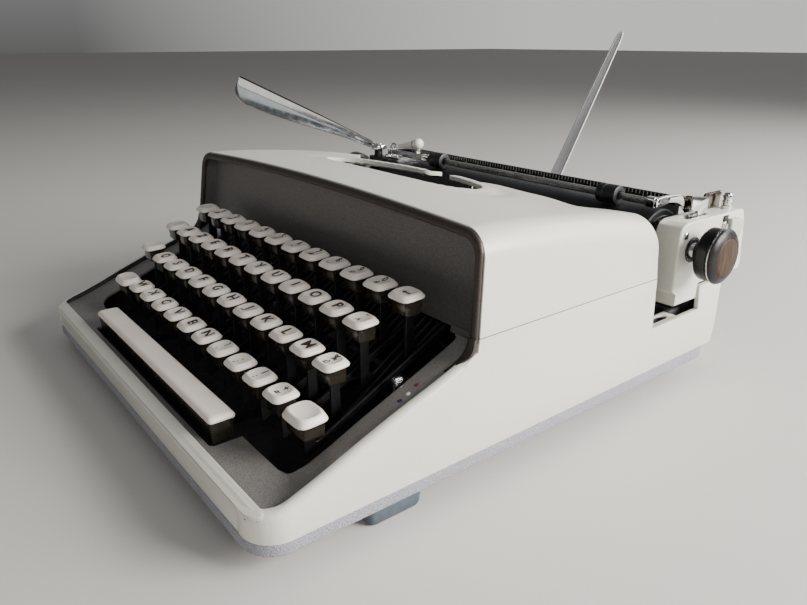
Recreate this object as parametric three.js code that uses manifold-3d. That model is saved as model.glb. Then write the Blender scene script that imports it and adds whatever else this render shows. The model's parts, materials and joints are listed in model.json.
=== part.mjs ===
// Portable manual typewriter, an assembly of separate named pieces.
// Millimetres, +Z up, +X to the typist's right, +Y away from the typist.
// The modelling frame has x = 0 on the body's centre line, y = 0 at its front edge and z = 0 on the table.
import * as THREE from 'three';
import { mergeVertices } from 'three/addons/utils/BufferGeometryUtils.js';
import Module from 'manifold-3d';

const wasm = await Module();
wasm.setup();

// ---------------------------------------------------------------- driving dimensions
const ORIGIN_X = -9.0;             // centre of the bounding box, in the modelling frame
const ORIGIN_Y = 167.134;
const KEY_PITCH = 19.05;           // centre to centre along a row
const BODY_HALF = 142.2;           // half width of the casing
const WALL = 2.5;                  // sheet and moulding thickness of the casing
const RIM = 4.0;                   // width of the rim round the keyboard
const FOOT_H = 10;                 // height of the rubber feet
const BODY_REAR_LOW = 298;         // rear wall at the base
const BODY_REAR_HIGH = 308.5;      // rear wall at its top
const SEAM_Z = 71;                 // joint line between the lower case and the top cover
const PANEL_LEAN = 0.12;           // rearward lean of the front panel per millimetre of height
const PANEL_DEPTH = 8.6;           // recess of the panel behind its frame
const COVER_REAR = 232;            // rear edge of the cover at the sides
const COVER_REAR_MID = 216;        // rear edge of the cover in front of the platen
const PLATEN_Y = 262.5, PLATEN_Z = 81, PLATEN_R = 18.2;
const PLATEN_HALF = 120;
const CARRIAGE_HALF = 142.2;
const KNOB_R = 14.7;
const FULCRUM_Y = 146;
const LEVER_Y = 97, LEVER_Z = 52.4, LEVER_SLOPE = 0.66, LEVER_KNEE = 117;   // line that the key levers follow under the caps
const LEVER_LOW = 26.4, LEVER_HALF = 1.8;
// each row: middle of the cap along y, top of the cap, first key centre, height of its lever layer
const ROWS = [
  { y: 95.5, z: 84.8, x0: -102.3, lever: 58.0 },
  { y: 77.7, z: 74.1, x0: -111.8, lever: 48.5 },
  { y: 58.9, z: 61.5, x0: -107.1, lever: 39.0 },
  { y: 39.8, z: 49.4, x0: -97.5, lever: 29.5 },
];
const BAIL_Y = 255, BAIL_Z = 104;
const BAIL_PIVOT_Y = 285.5, BAIL_PIVOT_Z = 97;
const TYPE_CENTRE_Z = 89;          // height of the printing point, centre of the type arc
const TYPE_RING_R = 47;            // radius of the type-bar pivots about the printing point
const TYPE_PIVOT_Y = 212;
const TYPE_BAR_L = 60.5;
const TYPE_STEP = 3.1;             // angle between neighbouring type bars, degrees
const SPOOL_X = 95, SPOOL_Y = 170;
const SELECTOR_Y = 81.2, SELECTOR_Z = 24;   // pivot of the ribbon selector

// ---------------------------------------------------------------- solids
function toSolid(geometry) {
  const g0 = geometry.index ? geometry.toNonIndexed() : geometry.clone();
  g0.deleteAttribute('normal');
  if (g0.attributes.uv) g0.deleteAttribute('uv');
  const g = mergeVertices(g0, 1e-4);
  const make = (flip) => {
    const tri = new Uint32Array(g.index.array);
    if (flip) for (let i = 0; i < tri.length; i += 3) [tri[i + 1], tri[i + 2]] = [tri[i + 2], tri[i + 1]];
    return new wasm.Manifold(new wasm.Mesh({
      numProp: 3, vertProperties: new Float32Array(g.attributes.position.array), triVerts: tri }));
  };
  const m = make(false);
  return m.volume() < 0 ? make(true) : m;
}
function toGeometry(solid) {
  const mesh = solid.getMesh();
  const g = new THREE.BufferGeometry();
  const n = mesh.numProp;
  const p = new Float32Array(mesh.vertProperties.length / n * 3);
  for (let i = 0; i < p.length / 3; i++) for (let k = 0; k < 3; k++) p[i * 3 + k] = mesh.vertProperties[i * n + k];
  g.setAttribute('position', new THREE.BufferAttribute(p, 3));
  g.setIndex(new THREE.BufferAttribute(new Uint32Array(mesh.triVerts), 1));
  return g;
}
const join = (...s) => s.reduce((a, b) => a.add(b));
const cut = (a, ...s) => s.reduce((x, b) => x.subtract(b), a);

function box(x0, x1, y0, y1, z0, z1) {
  const g = new THREE.BoxGeometry(x1 - x0, y1 - y0, z1 - z0);
  g.translate((x0 + x1) / 2, (y0 + y1) / 2, (z0 + z1) / 2);
  return toSolid(g);
}
// cylinder along an axis; (u, v) are the other two coordinates in x, y, z order
function rod(axis, r, a0, a1, u, v, seg = 24, r2 = r) {
  const g = new THREE.CylinderGeometry(r2, r, a1 - a0, seg);   // along local +y, r2 at the far end
  const mid = (a0 + a1) / 2;
  if (axis === 'x') { g.rotateZ(-Math.PI / 2); g.translate(mid, u, v); }
  if (axis === 'y') { g.translate(u, mid, v); }
  if (axis === 'z') { g.rotateX(Math.PI / 2); g.translate(u, v, mid); }
  return toSolid(g);
}
// prism of a polygon given in the two remaining coordinates, in x, y, z order
function prism(axis, pts, a0, a1) {
  const p = axis === 'y' ? pts.map(([x, z]) => [z, x]) : pts;
  const shape = new THREE.Shape(p.map(([a, b]) => new THREE.Vector2(a, b)));
  const g = new THREE.ExtrudeGeometry(shape, { depth: a1 - a0, bevelEnabled: false, curveSegments: 8 });
  const m = new THREE.Matrix4();
  if (axis === 'x') m.set(0, 0, 1, a0, 1, 0, 0, 0, 0, 1, 0, 0, 0, 0, 0, 1);
  if (axis === 'y') m.set(0, 1, 0, 0, 0, 0, 1, a0, 1, 0, 0, 0, 0, 0, 0, 1);
  if (axis === 'z') m.set(1, 0, 0, 0, 0, 1, 0, 0, 0, 0, 1, a0, 0, 0, 0, 1);
  g.applyMatrix4(m);
  return toSolid(g);
}
// revolved profile [radius, height] closed on the axis, turned to lie along an axis through (u, v)
function turned(axis, profile, u, v, seg = 24) {
  const g = new THREE.LatheGeometry(profile.map(([r, h]) => new THREE.Vector2(r, h)), seg);
  if (axis === 'x') { g.rotateZ(-Math.PI / 2); g.translate(0, u, v); }
  if (axis === 'z') { g.rotateX(Math.PI / 2); g.translate(u, v, 0); }
  return toSolid(g);
}
// closed loft through rings that all have the same number of points
function loft(rings) {
  const n = rings[0].length, pos = [], idx = [];
  rings.forEach((r) => r.forEach((p) => pos.push(...p)));
  for (let i = 0; i < rings.length - 1; i++) {
    for (let j = 0; j < n; j++) {
      const k = (j + 1) % n, a = i * n + j, b = i * n + k, c = (i + 1) * n + j, d = (i + 1) * n + k;
      idx.push(a, b, d, a, d, c);
    }
  }
  for (let j = 1; j < n - 1; j++) idx.push(0, j + 1, j);
  const o = (rings.length - 1) * n;
  for (let j = 1; j < n - 1; j++) idx.push(o, o + j, o + j + 1);
  const g = new THREE.BufferGeometry();
  g.setAttribute('position', new THREE.BufferAttribute(new Float32Array(pos), 3));
  g.setIndex(idx);
  return toSolid(g);
}
// closed sheet between two grids of points, outer[i][j] and inner[i][j]
function sheet(outer, inner) {
  const nu = outer.length, nv = outer[0].length, pos = [], idx = [];
  for (const grid of [outer, inner]) for (const row of grid) for (const p of row) pos.push(...p);
  const A = (i, j) => i * nv + j, B = (i, j) => nu * nv + i * nv + j;
  for (let i = 0; i < nu - 1; i++) {
    for (let j = 0; j < nv - 1; j++) {
      idx.push(A(i, j), A(i + 1, j), A(i + 1, j + 1), A(i, j), A(i + 1, j + 1), A(i, j + 1));
      idx.push(B(i, j), B(i + 1, j + 1), B(i + 1, j), B(i, j), B(i, j + 1), B(i + 1, j + 1));
    }
  }
  for (let i = 0; i < nu - 1; i++) {
    idx.push(A(i, 0), B(i + 1, 0), A(i + 1, 0), A(i, 0), B(i, 0), B(i + 1, 0));
    const j = nv - 1;
    idx.push(A(i, j), A(i + 1, j), B(i + 1, j), A(i, j), B(i + 1, j), B(i, j));
  }
  for (let j = 0; j < nv - 1; j++) {
    idx.push(A(0, j), A(0, j + 1), B(0, j + 1), A(0, j), B(0, j + 1), B(0, j));
    const i = nu - 1;
    idx.push(A(i, j), B(i, j + 1), A(i, j + 1), A(i, j), B(i, j), B(i, j + 1));
  }
  const g = new THREE.BufferGeometry();
  g.setAttribute('position', new THREE.BufferAttribute(new Float32Array(pos), 3));
  g.setIndex(idx);
  return toSolid(g);
}
// rounded rectangle outline, counter-clockwise
function roundRect(x0, x1, y0, y1, r, n = 4) {
  const out = [];
  const rr = Array.isArray(r) ? r : [r, r, r, r];
  [[x1 - rr[0], y0 + rr[0], -90, rr[0]], [x1 - rr[1], y1 - rr[1], 0, rr[1]],
    [x0 + rr[2], y1 - rr[2], 90, rr[2]], [x0 + rr[3], y0 + rr[3], 180, rr[3]]].forEach(([cx, cy, a, q]) => {
    for (let i = 0; i <= n; i++) {
      const t = (a + 90 * i / n) * Math.PI / 180;
      out.push([cx + q * Math.cos(t), cy + q * Math.sin(t)]);
    }
  });
  return out;
}
const interp = (t, xs, ys) => {
  if (t <= xs[0]) return ys[0];
  for (let i = 1; i < xs.length; i++) if (t <= xs[i]) return ys[i - 1] + (ys[i] - ys[i - 1]) * (t - xs[i - 1]) / (xs[i] - xs[i - 1]);
  return ys[ys.length - 1];
};
// turn a solid about an axis along x through (y, z)
function turnX(s, deg, y, z) {
  return s.translate([0, -y, -z]).rotate([deg, 0, 0]).translate([0, y, z]);
}

const group = new THREE.Group();
const inner = new THREE.Group();
inner.position.set(-ORIGIN_X, -ORIGIN_Y, 0);
group.add(inner);
const MAT = {
  cream: [0xe6e3d6, 0.42, 0.0], strip: [0xc0c0c6, 0.8, 0.1], rubber: [0x5f6d7b, 0.9, 0.0],
  panel: [0x4b4643, 0.5, 0.4], apron: [0x8a8580, 0.5, 0.5], black: [0x1c1d20, 0.55, 0.2],
  chrome: [0xd9dadc, 0.12, 1.0], steel: [0x9a9b9d, 0.35, 0.9], cap: [0xebe1d6, 0.4, 0.0],
  platen: [0x141518, 0.7, 0.0], brass: [0xb89a5a, 0.35, 0.9], grey: [0x6f6e6c, 0.5, 0.5],
  thumb: [0xb9c2b4, 0.35, 0.0],
};
function add(name, solid, mat) {
  const [color, roughness, metalness] = MAT[mat];
  const mesh = new THREE.Mesh(toGeometry(solid), new THREE.MeshStandardMaterial({ color, roughness, metalness }));
  mesh.name = name;
  inner.add(mesh);
}

// ---------------------------------------------------------------- casing
const stripTop = (y) => 15.5 + 2.2 * y / BODY_REAR_LOW;
// base pan: a tray with a textured edge that shows as the lowest strip of the body
{
  const plan = roundRect(-BODY_HALF + 0.2, BODY_HALF - 0.2, 1.8, BODY_REAR_LOW, [14, 12, 12, 14]);
  const planIn = roundRect(-BODY_HALF + 3.2, BODY_HALF - 3.2, 4.8, BODY_REAR_LOW - 3, [11, 9, 9, 11]);
  const side = [[0, 10.3], [300, 10.3], [300, stripTop(300)], [0, stripTop(0)]];
  const outer = prism('z', plan, 10.3, 20).intersect(prism('x', side, -150, 150));
  const vents = [];
  for (let i = 0; i < 5; i++) vents.push(box(-60 + i * 26, -44 + i * 26, 205, 210, 5, 14));
  add('base_pan', cut(outer, prism('z', planIn, 12.3, 25), ...vents), 'strip');
}
// lower case: side, front and rear walls in one moulding, with the rim round the keyboard
const rimY = [1.6, 5.7, 7.6, 15.5, 18, 28.1, 32, 45, 64.8, 85, 96, 100, 102, 103.4, 106.5];
const rimZ = [27.5, 28.7, 28.8, 30.5, 31.2, 34.9, 36.4, 41.7, 49.3, 56.3, 60.5, 62.0, 63.4, 64.7, 64.8];
{
  const side = [[1.8, stripTop(0) + 0.3], [BODY_REAR_LOW, stripTop(298) + 0.3], [BODY_REAR_HIGH, 58.3], [276.5, 57.4],
    [278.0, 43.2], [234, 42.4], [232.3, 70.7], [106.5, 70.7],
    ...rimY.slice(1).map((y, i) => [y, rimZ[i + 1]]).reverse(), [1.8, rimZ[0]]];
  const plan = roundRect(-BODY_HALF, BODY_HALF, 1.6, BODY_REAR_HIGH + 0.5, [14, 12, 12, 14]);
  const outer = prism('x', side, -BODY_HALF, BODY_HALF).intersect(prism('z', plan, 10, 80));
  const well = prism('z', roundRect(-BODY_HALF + RIM, BODY_HALF - RIM, 1.6 + RIM, 120, [10, 2, 2, 10]), 5, 90);
  const rearSide = [[104, 5], [BODY_REAR_LOW - 3.2, 5], [BODY_REAR_LOW - 3, 18], [BODY_REAR_HIGH - 3, 60], [BODY_REAR_HIGH - 3, 80], [104, 80]];
  const rear = prism('x', rearSide, -BODY_HALF + WALL, BODY_HALF - WALL)
    .intersect(prism('z', roundRect(-BODY_HALF + WALL, BODY_HALF - WALL, 100, BODY_REAR_HIGH - 2, [1, 9, 9, 1]), 0, 90));
  // a short stud on the right-hand wall carries the ribbon selector
  add('lower_case', join(cut(outer, well, rear), rod('x', 1.5, 117.9, 139.0, SELECTOR_Y, SELECTOR_Z, 12)), 'cream');
}
// top cover: crowned shell with soft shoulders, the type opening and a rear bar split at the printing point
const topY = [104, 111, 125, 140, 155, 171, 187.5, 205, 218, 232];
const topZ = [115.0, 114.9, 114.6, 113.5, 112.2, 110.9, 109.0, 106.6, 104.6, 102.0];
const coverTop = (y) => interp(y, topY, topZ);
const sideX = (z) => BODY_HALF - 0.09 * (z - SEAM_Z);
function section(y, off = 0, zBottom = SEAM_Z, nTop = 6) {
  const t = Math.min(1, Math.max(0, (y - 150) / 66));
  const zt = coverTop(y) - off;
  const R = 13 + 4 * Math.min(1, Math.max(0, (y - 111) / 121)) - off * 0.8;
  const xw = sideX(zt - R) - off;
  const cx = xw - R, crown = 3.2 * (1 - t);
  const pts = [[sideX(zBottom) - off, zBottom], [xw, zt - R]];
  for (let i = 1; i <= 5; i++) { const a = i * 18 * Math.PI / 180; pts.push([cx + R * Math.cos(a), zt - R + R * Math.sin(a)]); }
  for (let i = 1; i <= nTop; i++) { const x = cx * (1 - i / nTop); pts.push([x, zt + crown * (1 - (x / cx) ** 2)]); }
  const left = pts.slice(0, -1).reverse().map(([x, z]) => [-x, z]);
  return pts.concat(left);
}
{
  const ys = [0, 0.08, 0.2, 0.33, 0.46, 0.6, 0.74, 0.88, 1];
  const gridOf = (off) => {
    const base = ys.map((v) => {
      const yMid = 106.6 + v * (COVER_REAR - 106.6);
      return section(yMid, off, SEAM_Z + 0.0).map(([x, z]) => {
        const yf = 106.5 + PANEL_LEAN * (z - SEAM_Z);
        return [x, yf + v * (COVER_REAR - yf), z];
      });
    });
    return base[0].map((_, i) => base.map((row) => row[i]));
  };
  const shell = sheet(gridOf(0), gridOf(WALL));
  const opening = [[-62, 163], [-48, 157.5], [-20, 155.5], [20, 155.5], [48, 157.5], [62, 163], [67, 172], [64, 182], [52, 191], [32, 199],
    [12, 204.5], [8.5, 208], [8.5, 220], [-8.5, 220], [-8.5, 208], [-12, 204.5], [-32, 199], [-52, 191], [-64, 182], [-67, 172]];
  const rear = [[-126, 240], [-124, 232], [-118, 226], [-110, 220.5], [-101, 217], [-92, 216], [92, 216], [101, 217], [110, 220.5], [118, 226], [124, 232], [126, 240]];
  add('top_cover', cut(shell, prism('z', opening, 80, 140), prism('z', rear, 85, 140)), 'cream');
}
// front panel: flange, recessed tub and plate, leaning slightly back
{
  const out = section(108, 0.3, 65.3, 4), wallO = section(108, 3.1, 65.3, 4), wallI = section(108, 4.7, 60, 4);
  const shear = (s) => s.warp((v) => { v[1] += PANEL_LEAN * (v[2] - 65.2); });
  const flange = shear(prism('y', out, 103.8, 105.8));
  const tub = shear(prism('y', wallO, 105.0, 103.8 + PANEL_DEPTH + 2));
  const pocket = shear(prism('y', wallI, 100, 103.8 + PANEL_DEPTH));
  const low = shear(box(-150, 150, 103.8 + PANEL_DEPTH - 0.5, 120, 60, 67.2));
  add('front_panel', cut(join(flange, tub), pocket, low), 'panel');
}
// keyboard apron: front strip with the space-bar notch and two sloping side bands
{
  const ys = [6.0, 15.5, 25.6, 30, 34.5, 44, 58.5, 79, 95, 101.5];
  const zo = ys.map((y) => Math.max(interp(y, rimY, rimZ) - 3.0, 26.8));
  const zi = [26.8, 26.8, 26.8, 30.2, 31.9, 35.7, 42.2, 50.6, 57.4, 60.0];
  const band = (s) => {
    const top = ys.map((y, i) => [[s * 137.9, y, zo[i]], [s * 131, y, zi[i] + (zo[i] - zi[i]) * 0.5], [s * 124, y, zi[i]]]);
    const t3 = [0, 1, 2].map((k) => top.map((r) => r[k]));
    return sheet(t3, t3.map((row) => row.map(([x, y, z]) => [x, y, z - 1.6])));
  };
  const strip = box(-125.5, 125.5, 6.0, 25.6, 25.2, 26.8);
  const lip = join(box(-123.5, -84, 24.2, 25.6, 20, 26.8), box(84, 123.5, 24.2, 25.6, 20, 26.8));
  const plan = prism('z', roundRect(-BODY_HALF + RIM + 0.4, BODY_HALF - RIM - 0.4, 6.0, 130, [9.6, 1, 1, 9.6]), 0, 90);
  add('keyboard_apron', cut(join(strip, band(1), band(-1), lip).intersect(plan), box(-82.3, 82.3, 11.2, 40, 15, 40)), 'apron');
}
// rubber feet
for (const [name, x, y] of [['foot_front_left', -129, 66], ['foot_front_right', 129, 66], ['foot_rear_left', -114, 262], ['foot_rear_right', 114, 262]]) {
  const ring = (d, z) => [[x - 10 + d, y - 14 + d, z], [x + 10 - d, y - 14 + d, z], [x + 10 - d, y + 14 - d, z], [x - 10 + d, y + 14 - d, z]];
  add(name, loft([ring(1.5, 0), ring(0.4, 2), ring(0, FOOT_H)]), 'rubber');
}

// ---------------------------------------------------------------- chassis
{
  const plate = (s) => {
    const p = [[112, 12.6], [290, 12.6], [290, 42], [238, 42], [236, 62], [112, 62]];
    return prism('x', p, s > 0 ? 130 : -132.5, s > 0 ? 132.5 : -130);
  };
  const front = box(-131, 131, 154, 157, 12.6, 20);
  const rear = box(-131, 131, 287, 290, 12.6, 42);
  const mid = box(-131, 131, 224, 227, 12.6, 38);
  const wing = (s) => {
    const a = s > 0 ? [s * SPOOL_X - 4, 131] : [-131, s * SPOOL_X + 4];
    const arm = box(a[0], a[1], SPOOL_Y - 5, SPOOL_Y + 5, 58, 61.5);
    return join(arm, rod('z', 6, 58, 78, s * SPOOL_X, SPOOL_Y, 16), rod('z', 2, 70, 101, s * SPOOL_X, SPOOL_Y, 12));
  };
  const rails = join(rod('x', 3, -131, 131, 254, 38.5, 14), rod('x', 3, -131, 131, 270.5, 38.5, 14));
  // cross strip with the posts of the mainspring drum and the escapement wheel
  const strip = join(box(-131, 131, 261, 267, 12.6, 15), rod('z', 3.0, 14, 33.5, -95, 264, 12), rod('z', 2.0, 14, 34.5, 10, 264, 10));
  add('main_frame', join(plate(1), plate(-1), front, rear, mid, wing(1), wing(-1), rails, strip), 'steel');
}
// frame that carries the lever fulcrum rods
{
  const pl = (s) => {
    const p = [[118, 12.6], [152, 12.6], [152, 63], [141, 63], [118, 24]];
    return prism('x', p, s > 0 ? 123 : -125.5, s > 0 ? 125.5 : -123);
  };
  const rods = ROWS.map((r) => rod('x', 1.6, -124, 124, FULCRUM_Y, r.lever, 10));
  const sb = rod('x', 1.5, -124, 124, 125, 17.8, 10);
  const tie = box(-124, 124, 149.8, 152, 12.6, 24);
  add('key_lever_frame', join(pl(1), pl(-1), ...rods, sb, tie), 'steel');
}

// ---------------------------------------------------------------- keys
// one key: dished cap with chamfered edge, tapering skirt, stem and lever
function keyAt(row, x, opt = {}) {
  const { y, z, lever } = ROWS[row];
  const w = (opt.w || 14.2) / 2, d = (opt.d || 13) / 2, dz = opt.dz || 0, dy = opt.dy || 0, dx = opt.dx || 0;
  const Y = y + dy, X = x + dx, zt = z + dz;
  const ring = (hx, hy, c, zf, zb, sh = 0) => {
    const q = [[hx - c, -hy], [hx, -hy + c], [hx, hy - c], [hx - c, hy], [-hx + c, hy], [-hx, hy - c], [-hx, -hy + c], [-hx + c, -hy]];
    return q.map(([a, b]) => [X + a, Y + b + sh, zf + (zb - zf) * (b + hy) / (2 * hy)]);
  };
  const side = opt.side || 2.7;
  const cap = loft([ring(w - 1.8, d - 2.4, 0.8, zt - 10.2, zt - 10.2), ring(w - 1.5, d - 2.1, 0.8, zt - side, zt - side + 0.1), ring(w, d, 2.2, zt - side + 0.1, zt - side + 0.5),
    ring(w - 0.3, d - 0.3, 2.2, zt - side + 0.7, zt - side + 1.1), ring(w - 2.1, d - 2.0, 1.8, zt - 0.5, zt + 0.2)]);
  // stem, then the lever: it rises rearward parallel to the keyboard and bends down to its fulcrum
  const a = Y - 1.0, b = Y + 4.0, h = LEVER_HALF, rise = (q) => Math.max(LEVER_LOW, LEVER_Z + LEVER_SLOPE * (q - LEVER_Y));
  const ky = LEVER_KNEE, kz = rise(ky);
  const foot = row === 3 ? LEVER_LOW + 0.4 : rise(a);
  const m = row === 3 ? (kz - foot) / (ky - a) : LEVER_SLOPE;
  const line = (q) => foot + m * (q - a);
  const arm = prism('x', [[a, line(a) - h], [ky, kz - h], [FULCRUM_Y - 1.2, lever - h - 0.6], [FULCRUM_Y + 1.4, lever + h - 0.6], [ky + 1.6, kz + h], [ky - 1.5, line(ky - 1.5) + h], [b, line(b) + h], [b, zt - 9.0], [a, zt - 9.0]], x - 0.8, x + 0.8);
  return join(cap, arm);
}
function keyGroup(name, row, first, last, opts = {}) {
  const xs = [];
  for (let i = first; i <= last; i++) xs.push(ROWS[row].x0 + KEY_PITCH * i);
  const hub = rod('x', 3.4, xs[0] - 1.6, xs[xs.length - 1] + 1.6, FULCRUM_Y, ROWS[row].lever, 12);
  const solid = join(hub, ...xs.map((x) => keyAt(row, x, opts)));
  const bore = rod('x', 1.95, xs[0] - 5, xs[xs.length - 1] + 5, FULCRUM_Y, ROWS[row].lever, 12);
  add(name, cut(solid, bore), 'cap');
}
keyGroup('key_margin_release', 0, 0, 0);
keyGroup('keys_number_row_left', 0, 1, 5);
keyGroup('keys_number_row_right', 0, 6, 10);
keyGroup('key_backspace', 0, 11, 11);
keyGroup('key_tabulator', 1, 0, 0);
keyGroup('keys_upper_row_left', 1, 1, 5);
keyGroup('keys_upper_row_right', 1, 6, 11);
keyGroup('key_shift_lock', 2, 0, 0, { dz: 3 });
keyGroup('keys_home_row_left', 2, 1, 4);
keyGroup('key_center', 2, 5, 5);
keyGroup('keys_home_row_right', 2, 6, 11);
keyGroup('key_shift_left', 3, 0, 0, { w: 18.4, d: 12.8, dx: -1, dy: -1.6, side: 3.4 });
keyGroup('keys_lower_row_left', 3, 1, 5);
keyGroup('keys_lower_row_right', 3, 6, 10);
keyGroup('key_shift_right', 3, 11, 11, { w: 17.8, d: 14.4, dx: 0.7, dy: -0.2, dz: -1, side: 3.4 });
// space bar: long cap with a deep skirt on two arms
{
  const ring = (hx, y0, y1, z) => [[-hx, y0, z], [hx, y0, z], [hx, y1, z], [-hx, y1, z]];
  const cap = loft([ring(78.4, 13.6, 23.8, 25.0), ring(78.8, 13.3, 24.2, 35.4), ring(80, 12.6, 25.0, 35.7), ring(79.8, 12.8, 24.9, 37.0), ring(78.4, 14.2, 23.5, 38.2)]);
  const arm = (x) => join(prism('x', [[16, 19.8], [125, 15.6], [125, 20], [22, 24.2], [22, 32], [16, 32]], x - 0.9, x + 0.9), rod('x', 3.0, x - 3, x + 3, 125, 17.8, 12));
  const bore = rod('x', 1.85, -90, 90, 125, 17.8, 12);
  add('space_bar', cut(join(cap, arm(-57.05), arm(57.25)), bore), 'cap');
}

// ---------------------------------------------------------------- type basket
const restDir = [-0.978, 0.208];                // direction of a resting bar in the plane of its swing
function typeBar(width = 1.1) {
  const [a, b] = restDir, L = TYPE_BAR_L, y0 = TYPE_PIVOT_Y, z0 = TYPE_CENTRE_Z - TYPE_RING_R;
  const P = (s, t) => [y0 + a * s + b * t, z0 + b * s - a * t];
  return prism('x', [P(-2.5, -1.5), P(L, -1.3), P(L, 4.2), P(L - 4, 4.2), P(L - 4, 1.3), P(-2.5, 1.5)], -width / 2, width / 2);
}
const aboutPrint = (s, deg) => s.translate([0, 0, -TYPE_CENTRE_Z]).rotate([0, -deg, 0]).translate([0, 0, TYPE_CENTRE_Z]);
function arcPlate(r0, r1, y0, y1, degMax, n = 14) {
  const pts = [];
  for (let i = 0; i <= n; i++) { const t = (-degMax + 2 * degMax * i / n) * Math.PI / 180; pts.push([r1 * Math.sin(t), TYPE_CENTRE_Z - r1 * Math.cos(t)]); }
  for (let i = n; i >= 0; i--) { const t = (-degMax + 2 * degMax * i / n) * Math.PI / 180; pts.push([r0 * Math.sin(t), TYPE_CENTRE_Z - r0 * Math.cos(t)]); }
  return prism('y', pts, y0, y1);
}
{
  const plate = join(arcPlate(40, 56, 214.8, 219.5, 74), box(-70, 70, 216.5, 219.5, 31, 41));
  const slots = [];
  for (let i = -21; i <= 21; i++) slots.push(aboutPrint(box(-0.75, 0.75, 210, 222, TYPE_CENTRE_Z - 50, TYPE_CENTRE_Z - 38), i * TYPE_STEP));
  add('type_segment', cut(plate, ...slots), 'steel');
}
{
  const bars = [];
  for (let i = -21; i <= 21; i++) if (i !== 0) bars.push(aboutPrint(typeBar(1.1), i * TYPE_STEP));
  const wire = cut(arcPlate(TYPE_RING_R - 1.2, TYPE_RING_R + 1.2, TYPE_PIVOT_Y - 1.2, TYPE_PIVOT_Y + 1.2, 69, 24), box(-1.3, 1.3, 205, 220, 30, 50));
  const under = cut(arcPlate(TYPE_RING_R + 3.4, TYPE_RING_R + 5.2, TYPE_PIVOT_Y - 2.5, TYPE_PIVOT_Y + 2.3, 69, 24));
  const tie = [-1, 1].map((s) => aboutPrint(box(-0.8, 0.8, TYPE_PIVOT_Y - 1.2, TYPE_PIVOT_Y + 1.2, TYPE_CENTRE_Z - 51, TYPE_CENTRE_Z - 46.5), s * 3 * TYPE_STEP));
  add('type_bars', join(wire, under, ...tie, ...bars), 'steel');
}
add('center_type_bar', typeBar(1.1), 'chrome');
// ribbon vibrator: a fork that lifts the ribbon in front of the printing point
{
  const fork = join(box(-9, 9, 240, 242.2, 60, 66), box(-9, -5.4, 240, 242.2, 60, 96), box(5.4, 9, 240, 242.2, 60, 96), box(-2.5, 2.5, 240.2, 242, 40, 61));
  add('ribbon_vibrator', fork, 'chrome');
}
for (const [name, s] of [['ribbon_spool_left', -1], ['ribbon_spool_right', 1]]) {
  const p = [[2.35, 80], [22, 80], [22, 81.2], [17.5, 81.2], [17.5, 94.2], [22, 94.2], [22, 95.4], [2.35, 95.4], [2.35, 80]];
  add(name, turned('z', p, s * SPOOL_X, SPOOL_Y, 24), 'black');
}
// ribbon colour selector: its tab stands just inside the right-hand side band
{
  const y = SELECTOR_Y, z = SELECTOR_Z;
  const lever = join(box(118.6, 120.2, y - 2.3, y + 2.3, z + 1, 52.4), box(117.9, 120.5, y - 2.4, y + 2.4, 49.6, 52.2), rod('x', 3.3, 117.8, 121.2, y, z, 14));
  add('ribbon_selector', cut(lever, rod('x', 1.85, 110, 130, y, z, 12)), 'chrome');
}
// margin bell, under the rear of the carriage
add('margin_bell', turned('z', [[0, 15.3], [3, 15.3], [3, 22], [14, 20.6], [15.2, 23], [12.6, 29.5], [7, 32.8], [0, 33.8]], 70, 264, 20), 'brass');
// mainspring drum that pulls the carriage, and the escapement wheel that lets it go letter by letter
add('mainspring_drum', cut(join(rod('z', 20, 16, 30, -95, 264, 24), rod('z', 22, 29, 31.5, -95, 264, 24)), rod('z', 3.3, 10, 40, -95, 264, 12)), 'steel');
{
  const star = [];
  for (let i = 0; i < 20; i++) { const r = i % 2 ? 9 : 11.2, t = i * 18 * Math.PI / 180; star.push([10 + r * Math.cos(t), 264 + r * Math.sin(t)]); }
  add('escapement_wheel', cut(join(prism('z', star, 31, 33), rod('z', 5, 26.5, 33, 10, 264, 14)), rod('z', 2.3, 20, 40, 10, 264, 10)), 'brass');
}

// ---------------------------------------------------------------- carriage
{
  const chan = join(box(-127.3, 127.3, 247, 249, 44.6, 55), box(-127.3, 127.3, 247, 276, 51, 53), box(-127.3, 127.3, 274, 276, 44.6, 55));
  const shoe = (x) => join(box(x - 12, x + 12, 248, 259, 43, 52), box(x - 12, x + 12, 265.5, 275, 43, 52));
  const side = (s) => {
    const p = [[247, 50.9], [275.4, 50.9], [276.2, 59.0], [300, 62.5], [300, 92], [294, 95.6], [252, 95.6], [247, 88]];
    return prism('x', p, s > 0 ? 125.2 : -127.4, s > 0 ? 127.4 : -125.2);
  };
  let f = join(chan, shoe(-16), shoe(16), side(1), side(-1));
  f = cut(f, rod('x', 5.0, -130, 130, PLATEN_Y, PLATEN_Z, 20));
  const post = join(box(-127.4, -102.5, 243.5, 253.6, 98.6, 100.1), box(-127.4, -125.2, 243.5, 252, 88, 100.4), rod('z', 3.2, 99, 105.6, -120, 247, 14));
  add('carriage_frame', join(f, post), 'black');
}
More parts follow.
